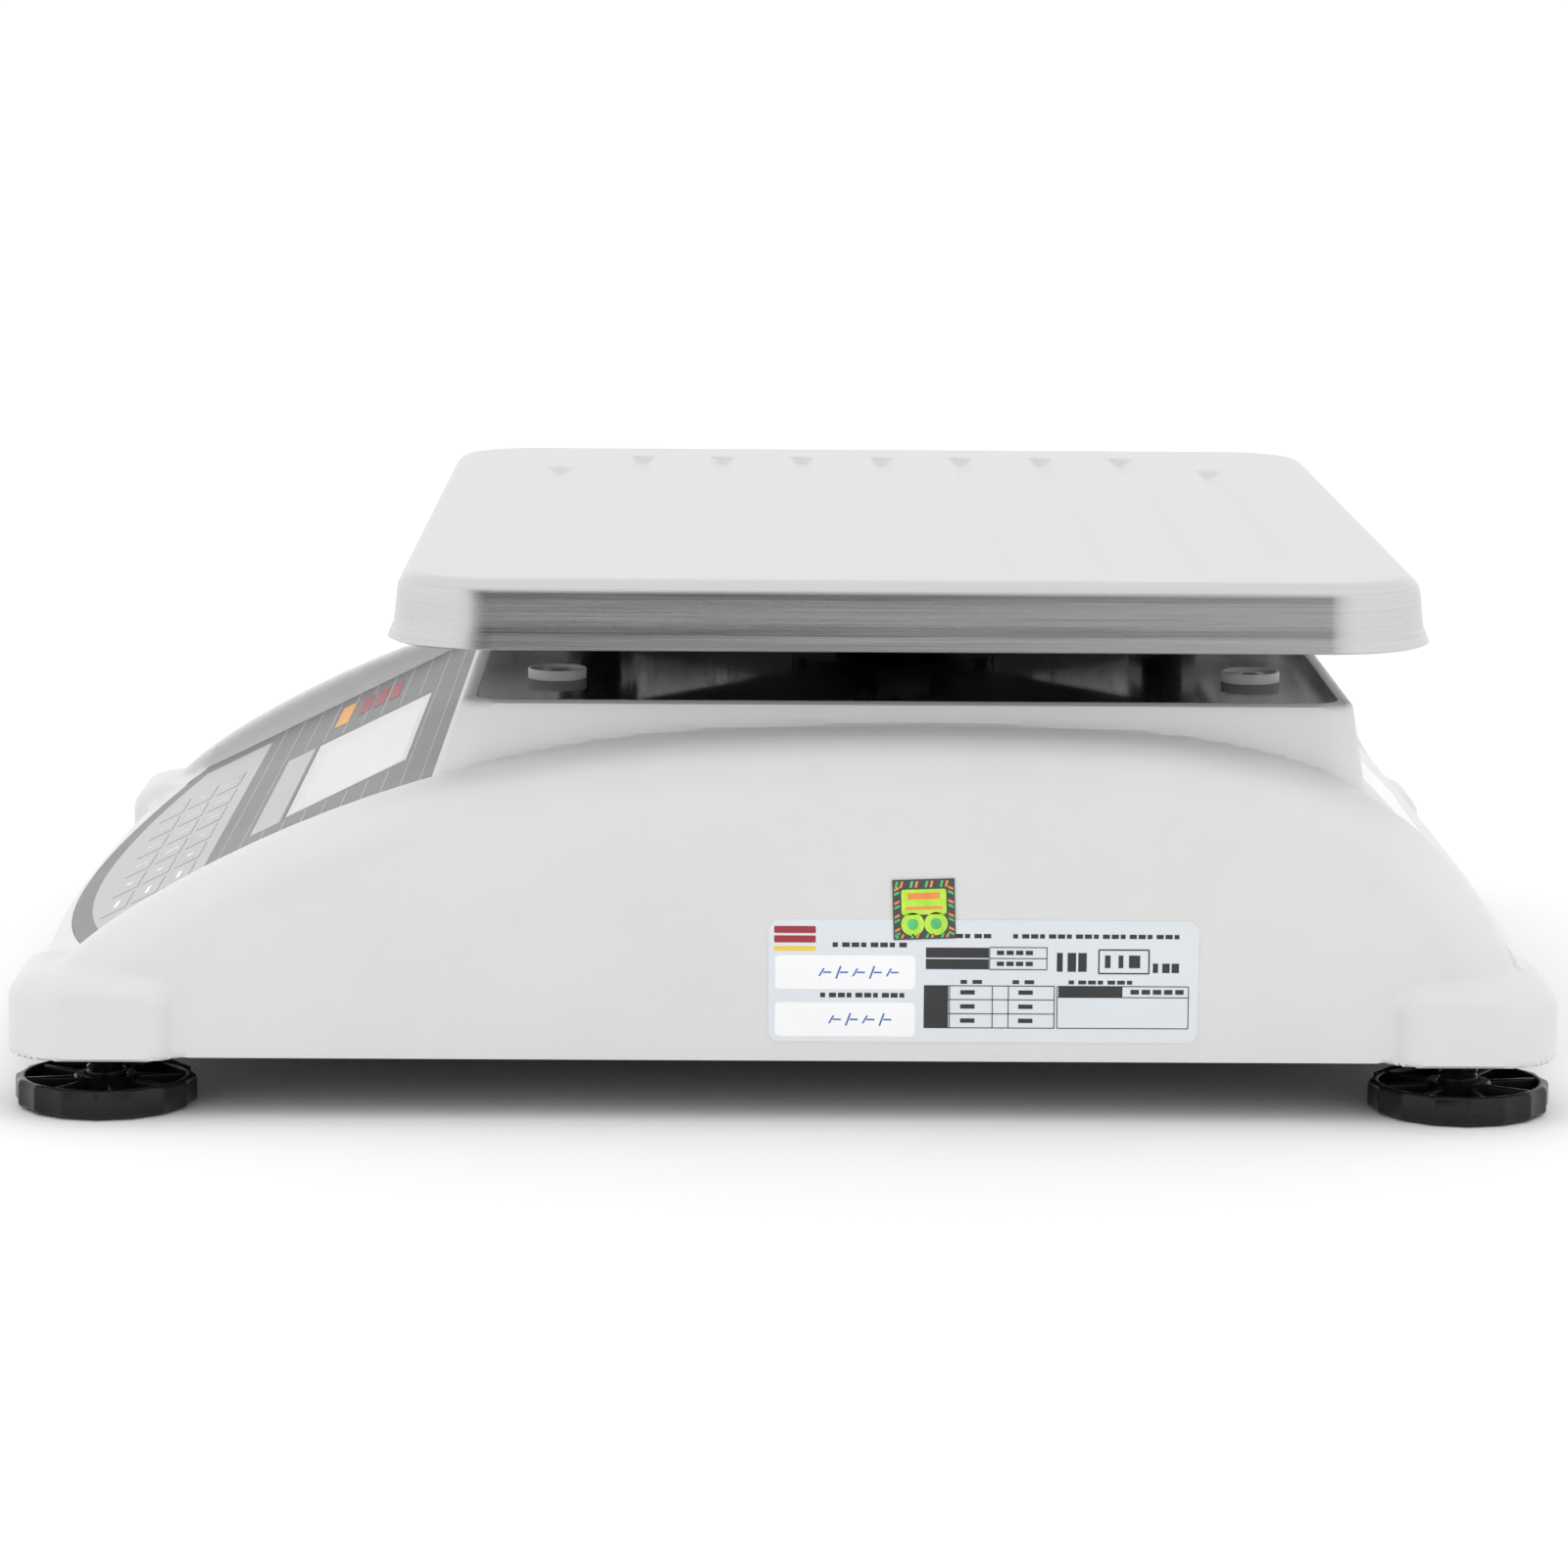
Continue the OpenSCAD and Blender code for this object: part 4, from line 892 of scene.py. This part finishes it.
accent_blocks = [rectangle(-126, -93, v, v + 3.4) for v in (-38.6, -33.6, -28.6)]
printed("accent_block_print", accent_blocks, accent_lift, print_maroon)


# The keys are raised tiles under the membrane, light grey with printed figures and plain marks.
# Each moves by half a millimetre over its dome on the keypad board.
key_grey = moulded("key_grey", (0.44, 0.445, 0.45), (0.47, 0.475, 0.48), (0.34, 0.42), 1400, 0.04)
key_marks = {
    (1, 1): "7", (1, 2): "8", (1, 3): "9", (2, 1): "4", (2, 2): "5", (2, 3): "6",
    (3, 1): "1", (3, 2): "2", (3, 3): "3", (3, 4): "0", (2, 4): "00", (1, 4): "+",
}


def figure_form(text, size, mid, lift):
    """A generic figure as a thin raised form, centred on a point of the operator panel."""
    curve = bpy.data.curves.new("figure", "FONT")
    curve.body = text
    curve.size = size
    curve.extrude = 0.02
    curve.align_x = "CENTER"
    curve.align_y = "CENTER"
    holder = bpy.data.objects.new("figure", curve)
    mesh = bpy.data.meshes.new_from_object(holder)
    bpy.data.objects.remove(holder)
    points = [(v.co.x + mid[0], v.co.y + mid[1], v.co.z + lift) for v in mesh.vertices]
    return points, [tuple(p.vertices) for p in mesh.polygons]


for row, v in enumerate(key_rows_v, 1):
    for column, x in enumerate(key_columns_x, 1):
        key = f"key_{row}_{column}"
        dress(key, key_grey, 0.00015)
        if (row, column) in key_marks:
            points, faces = figure_form(key_marks[row, column], 5.4, (x, v), 0.23)
        elif column == 5:
            points, faces = prism([(x - 1.6, v - 1.5), (x + 1.8, v), (x - 1.6, v + 1.5)], 0.21, 0.25)
        else:
            points, faces = prism(rectangle(x - 5, x + 5, v - 0.6, v + 0.6), 0.21, 0.25)
        legend = new_object(f"legend_{row}_{column}", put_on_slope(points, *operator_panel), faces)
        settle(legend)
        legend.data.materials.append(print_white)
        fit(legend, key, "key")


# Both displays are pale reflective LCD modules behind clear acrylic windows, each on a green
# circuit board. The windows are glued into ledges of the housing.
window_acrylic = clear("window_acrylic", (0.97, 0.975, 0.98), 0.02, 0.9)
dress("display_window", window_acrylic, 0.0002)
dress("rear_window", window_acrylic, 0.0002)
lcd_glass = moulded("lcd_glass", (0.82, 0.835, 0.82), (0.86, 0.87, 0.86), (0.16, 0.24), 1600, 0.01, coat=0.5)
dress("lcd_module", lcd_glass, 0.0003)
dress("rear_lcd_module", lcd_glass, 0.0003)
board_green = moulded("board_green", (0.015, 0.1, 0.04), (0.03, 0.15, 0.07), (0.35, 0.5), 500, 0.1, 60)
for node in ("display_board", "main_board", "keypad_board"):
    dress(node, board_green, 0.0001)


# The weighing mechanism: a milled aluminium load cell on a spacer, a bracket on its free end and
# a cast four-armed carrier, whose rubber pads hold the pan.
cell_aluminium = brushed("milled_aluminium", (0.6, 0.6, 0.61), (0.74, 0.74, 0.75), (0.3, 0.45), 1500, 60)
for node in ("load_cell", "load_cell_spacer", "platform_bracket"):
    dress(node, cell_aluminium, 0.0003)
# The carrier's metal is darkened to near black: painted shade for the dark space under the pan.
carrier_shade_grey = (0.07, 0.07, 0.073), (0.11, 0.11, 0.115)
cast_metal = moulded("cast_carrier", *carrier_shade_grey, (0.4, 0.55), 420, 0.25, 35, metal=0.9)
dress("pan_carrier", cast_metal, 0.0005)
black_rubber = moulded("black_rubber", 0.018, 0.035, (0.6, 0.75), 500, 0.2)
dress("pan_pads", black_rubber, 0.0004)
cable_sheath = moulded("cable_sheath", (0.03, 0.03, 0.032), (0.05, 0.05, 0.052), (0.45, 0.6), 600, 0.1)
dress("load_cell_cable", cable_sheath)
ribbon_grey = moulded("ribbon_grey", (0.34, 0.35, 0.37), (0.42, 0.43, 0.45), (0.4, 0.5), 800, 0.05)
dress("display_ribbon", ribbon_grey)


# The base plate is a textured black moulding. It carries the battery under a steel strap, and
# brass inserts for the levelling studs.
base_black = moulded("base_black", (0.03, 0.03, 0.031), (0.05, 0.05, 0.051), (0.5, 0.65), 420, 0.3)
dress("base_plate", base_black, 0.0003)
battery_case = moulded("battery_case", (0.05, 0.055, 0.06), (0.08, 0.085, 0.09), (0.4, 0.55), 400, 0.15)
dress("battery", battery_case, 0.0006)
dress("battery_strap", fastener_steel, 0.0002)
insert_brass = brushed("turned_brass", (0.6, 0.4, 0.15), (0.75, 0.53, 0.24), (0.25, 0.4), 1600, 120)
dress("foot_inserts", insert_brass)


# The power inlet and the rocker switch are black snap-in parts in the left cheek. Each sits in
# its own opening, and the rocker is glossier than its frame.
snap_black = moulded("snap_in_black", (0.018, 0.018, 0.019), (0.03, 0.03, 0.031), (0.32, 0.45), 700, 0.12)
dress("power_socket", snap_black, 0.0003)
dress("power_switch_frame", snap_black, 0.0003)
rocker_black = moulded("rocker_black", 0.02, 0.03, (0.15, 0.25), 900, 0.03)
dress("power_rocker", rocker_black, 0.0004)


# Each levelling foot is a glass-filled nylon wheel on a threaded stud: a shallow cup with a
# fluted rim, spokes and a hub, turning on a rubber pad.
wheel_low_z, wheel_high_z = 2.3, 7.5
wheel_flutes = 16
flute_deep = 0.75
wheel_steps = 192
wheel_spokes = 8
first_spoke_turn = 0.2
stud_r = 5
stud_top_z = 28
thread_pitch = 1.5
thread_deep = 0.75
thread_low_z = 8.2
foot_black = moulded("foot_nylon", (0.006, 0.006, 0.007), (0.012, 0.012, 0.013), (0.2, 0.32), 600, 0.06)
less_gloss(foot_black, 0.25)
foot_spots = {
    "front_left": (-147, -171.5), "front_right": (147, -171.5),
    "rear_left": (-147, 171.5), "rear_right": (147, 171.5),
}
wheel_profile = [
    (8.2, 4.4), (8.2, wheel_low_z), (21.3, wheel_low_z), (21.3, 0.5), (22.2, 0.5), (22.7, 0.8), (23, 1.4),
    (23, 6.3), (22.8, 6.9), (22.5, 7.3),
    (22.0, wheel_high_z), (20.9, wheel_high_z), (20.4, 7.3), (20.1, 6.9), (20.0, 4.9), (19.5, 4.4),
]


def flute(a):
    """How far the rim is hollowed at this angle, in millimetres."""
    part = (a * wheel_flutes / math.tau) % 1
    return flute_deep * (1 - (2 * part - 1) ** 2)


def rounded_bar(length, width, low, high, r, turn, start):
    """A bar with rounded upper edges that runs outwards from the axis."""
    section = [(-width / 2, low), (width / 2, low), (width / 2, high - r)]
    section += [(width / 2 - r * (1 - math.cos(a)), high - r * (1 - math.sin(a))) for a in (0.5, 1.05, 1.57)]
    section += [(-y, z) for y, z in reversed(section[2:])]
    turned = Matrix.Rotation(turn, 3, "Z")
    ends = [turned @ Vector((x, y, z)) for x in (start, start + length) for y, z in section]
    count = len(section)
    faces = [tuple(range(count - 1, -1, -1)), tuple(range(count, 2 * count))]
    faces += [(k, (k + 1) % count, count + (k + 1) % count, count + k) for k in range(count)]
    return ends, faces


def stud_form():
    """A threaded stud: one skin of rings whose radius follows a helix, closed at both ends."""
    turns, step = 32, 0.25
    heights = np.arange(4.2, stud_top_z + 0.01, step)
    points, faces = [], []
    for z in heights:
        for k in range(turns):
            a = math.tau * k / turns
            phase = (z / thread_pitch - a / math.tau) % 1
            fade = min(1, max(0, (z - thread_low_z) / 1.0), (stud_top_z - z) / 0.8 + 0.3)
            reach = stud_r - thread_deep * abs(2 * phase - 1) * fade
            points.append((reach * math.cos(a), reach * math.sin(a), z))
    for j in range(len(heights) - 1):
        for k in range(turns):
            after = (k + 1) % turns
            faces.append((j * turns + k, j * turns + after, (j + 1) * turns + after, (j + 1) * turns + k))
    faces.append(tuple(range(turns - 1, -1, -1)))
    faces.append(tuple(range(len(points) - turns, len(points))))
    return points, faces


def wheel_shrink(a, r):
    return flute(a) * min(1, max(0, (r - 21.6) / 0.5))


hub_profile = [(3.1, wheel_low_z), (8.3, wheel_low_z), (8.3, 6.9), (7.7, wheel_high_z), (5.6, wheel_high_z),
               (5.2, 7.2), (4.9, 5.3), (3.1, 5.3)]
for corner, (x, y) in foot_spots.items():
    points, faces = [], []
    add_form(points, faces, turned_form(wheel_profile, wheel_steps, wheel_shrink))
    add_form(points, faces, turned_form(hub_profile, 64))
    for k in range(wheel_spokes):
        turn = math.tau * k / wheel_spokes + first_spoke_turn
        add_form(points, faces, rounded_bar(12.2, 1.6, 4.3, 7.1, 0.5, turn, 8.0))
    wheel = new_object(f"wheel_{corner}", [(px + x, py + y, pz) for px, py, pz in points], faces)
    settle(wheel, 35)
    wheel.data.materials.append(foot_black)
    fit(wheel, f"wheel_{corner}", "foot", f"foot_wheel_{corner}")
    points, faces = stud_form()
    stud = new_object(f"stud_{corner}", [(px + x, py + y, pz) for px, py, pz in points], faces)
    settle(stud, 50)
    stud.data.materials.append(foot_black)
    fit(stud, f"wheel_{corner}", "foot")
    dress(f"foot_pad_{corner}", black_rubber, 0.0004)


# The rating label is a pale film on the right cheek, with two writing fields, a header block and
# a ruled table. Its contents are plain bars, with no lettering.
film_blue = (0.69, 0.725, 0.76), (0.72, 0.755, 0.79)
label_film = moulded("label_film", *film_blue, (0.3, 0.4), 1500, 0.02, coat=0.2)
dress("rating_label", label_film)
print_yellow = moulded("print_yellow", (0.8, 0.55, 0.06), (0.86, 0.6, 0.08), (0.35, 0.45), 1400, 0.03)
print_blue = moulded("ink_blue", (0.03, 0.1, 0.4), (0.05, 0.14, 0.5), (0.4, 0.5), 1400, 0.03)
label_x = 165.2
on_film, on_print = 0.0, 0.035


def on_cheek(name, shapes, lift, material, slot="label"):
    """Print on the right cheek, drawn as (along Y, up Z) outlines."""
    ink_thick = 0.03
    points, faces = joined_prisms(shapes, label_x + lift, label_x + lift + ink_thick)
    made = new_object(name, [(p[2], p[0], p[1]) for p in points], faces)
    settle(made)
    made.data.materials.append(material)
    fit(made, "housing", slot)


writing_fields = [rounded_rectangle(17.5, 4.3, 1.2, (15.2, z)) for z in (38.0, 26.0)]
on_cheek("label_writing_fields", writing_fields, on_film, print_white)
header_bars = [rounded_rectangle(5.2, 0.9, 0.3, (2.6, z)) for z in (46.4, 48.8)]
on_cheek("label_header_bars", header_bars, on_film, print_maroon)
on_cheek("label_header_rule", [rounded_rectangle(5.2, 0.6, 0.3, (2.6, 44.0))], on_film, print_yellow)
pen_strokes = []
for start_y, mid_z, marks in ((8.5, 38.0, 5), (11.0, 26.0, 4)):
    for k in range(marks):
        y = start_y + 4.2 * k
        tall = 1.6 if k % 2 else 1.0
        low_z, high_z = mid_z - tall, mid_z + tall
        pen_strokes.append([(y, low_z), (y + 0.45, low_z), (y + 1.6, high_z), (y + 1.15, high_z)])
        pen_strokes.append(rectangle(y + 1.2, y + 3.2, mid_z - 0.2, mid_z + 0.2))
on_cheek("label_pen_strokes", pen_strokes, on_print, print_blue)
text_bars = [
    (12.0, 31.0, 44.4, 45.6), (9.0, 31.0, 31.6, 32.8), (38.0, 52.0, 46.8, 47.9),
    (57.0, 99.5, 46.8, 47.9), (68.0, 76.0, 38.4, 43.2), (92.0, 99.0, 38.2, 40.6),
    (71.0, 88.0, 35.2, 36.2), (44.0, 50.0, 35.2, 36.2), (57.0, 63.0, 35.2, 36.2),
]
dark_cells = [rectangle(35.3, 51.0, z, z + 2.6) for z in (41.8, 38.9)]
dark_cells += [rectangle(35.0, 41.0, 24.0, 34.6), rectangle(68.5, 84.5, 32.0, 34.6)]
bar_pattern = []
for y0, y1, z0, z1 in text_bars:
    count = max(2, int((y1 - y0) / 2.2))
    for k in range(count):
        left = y0 + (y1 - y0) * k / count
        right = left + (y1 - y0) / count * (0.8 if k % 3 else 0.55)
        bar_pattern.append(rectangle(left, right, z0, z1))
on_cheek("label_text_bars", bar_pattern, on_film, level_black)
on_cheek("label_dark_cells", dark_cells, on_film, level_black)


def ruled(y_lines, z_lines, width=0.22):
    """Thin lines of a table through the given places."""
    lines = [rectangle(y - width / 2, y + width / 2, z_lines[0], z_lines[-1]) for y in y_lines]
    return lines + [rectangle(y_lines[0], y_lines[-1], z - width / 2, z + width / 2) for z in z_lines]


table_lines = ruled((35.0, 41.3, 52.0, 56.0, 67.5), (24.0, 27.6, 31.2, 34.7))
table_lines += ruled((51.2, 65.5), (38.9, 41.7, 44.5)) + ruled((68.2, 101.0), (24.0, 31.9, 34.7))
table_lines += ruled((78.5, 91.0), (38.0, 44.0), 0.35)
on_cheek("label_table_lines", table_lines, on_print, level_black)
cell_bars = []
for z in (25.3, 28.9, 32.5):
    cell_bars += [rectangle(y, y + 3.6, z, z + 1.1) for y in (44.0, 58.5)]
cell_bars += [rectangle(53.0 + 2.4 * k, 54.8 + 2.4 * k, z, z + 1.1) for k in range(4) for z in (39.8, 42.6)]
cell_bars += [rectangle(86.5 + 2.8 * k, 88.6 + 2.8 * k, 32.7, 33.9) for k in range(5)]
cell_bars += [rectangle(y0, y1, 39.4, 42.6) for y0, y1 in ((80.0, 81.4), (83.4, 84.6), (86.0, 88.8))]
on_cheek("label_cell_bars", cell_bars, on_print, level_black)


# The seal is a small square sticker with dashes in two colours round its edge, a bright panel and
# two discs. It is stuck over the label's upper edge, slightly turned.
seal_mid = (34.7, 54.1)
seal_half_w, seal_half_h = 7.75, 7.6
seal_tilt = math.radians(2)
seal_top_x = 165.4
seal_black = (0.02, 0.03, 0.025), (0.04, 0.05, 0.045)
seal_border = moulded("seal_border", *seal_black, (0.15, 0.25), 900, 0.05, coat=0.4)
dress("seal_label", seal_border)
foil = (0.12, 0.22), 900, 0.05, 300, 0.5
seal_lime = moulded("seal_lime", (0.36, 0.72, 0.02), (0.55, 0.82, 0.05), *foil)
seal_green = moulded("seal_green", (0.05, 0.45, 0.12), (0.1, 0.6, 0.2), *foil)
seal_orange = moulded("seal_orange", (0.85, 0.2, 0.03), (0.9, 0.3, 0.05), *foil)


def on_seal(name, shapes, lift, material):
    c, s = math.cos(seal_tilt), math.sin(seal_tilt)
    turned = []
    for outline in shapes:
        turned.append([(seal_mid[0] + a * c - b * s, seal_mid[1] + a * s + b * c) for a, b in outline])
    on_cheek(name, turned, seal_top_x - label_x + lift, material, "seal")


def seal_dashes(first):
    """Every third slanted dash around the seal's border."""
    dashes = []
    for k in range(first, 12, 3):
        a = -seal_half_w + 0.5 + k * 1.25
        for low, high in ((seal_half_h - 2.0, seal_half_h - 0.4), (-seal_half_h + 0.4, -seal_half_h + 1.4)):
            dashes.append([(a, low), (a + 0.6, low), (a + 1.0, high), (a + 0.4, high)])
        b = -seal_half_h + 0.8 + k * 1.15
        for side in (-1, 1):
            dash = [(side * 7.4, b), (side * 7.4, b + 0.6), (side * 6.1, b + 1.2), (side * 6.1, b + 0.6)]
            dashes.append(dash[::side])
    return dashes


on_seal("seal_panel", [rounded_rectangle(5.6, 3.2, 0.6, (0, 1.9))], on_film, seal_lime)
on_seal("seal_discs", [circle(2.9, (-2.9, -3.7), 32), circle(2.9, (2.9, -3.7), 32)], on_film, seal_lime)
on_seal("seal_centres", [circle(1.4, (-2.9, -3.7), 24), circle(1.4, (2.9, -3.7), 24)], on_print, seal_green)
on_seal("seal_bars", [rectangle(-4.0, 4.0, 2.6, 4.2), rectangle(-4.6, 4.6, 0.0, 0.7)], on_print, seal_orange)
on_seal("seal_dashes_green", seal_dashes(0), on_film, seal_green)
on_seal("seal_dashes_orange", seal_dashes(1), on_film, seal_orange)
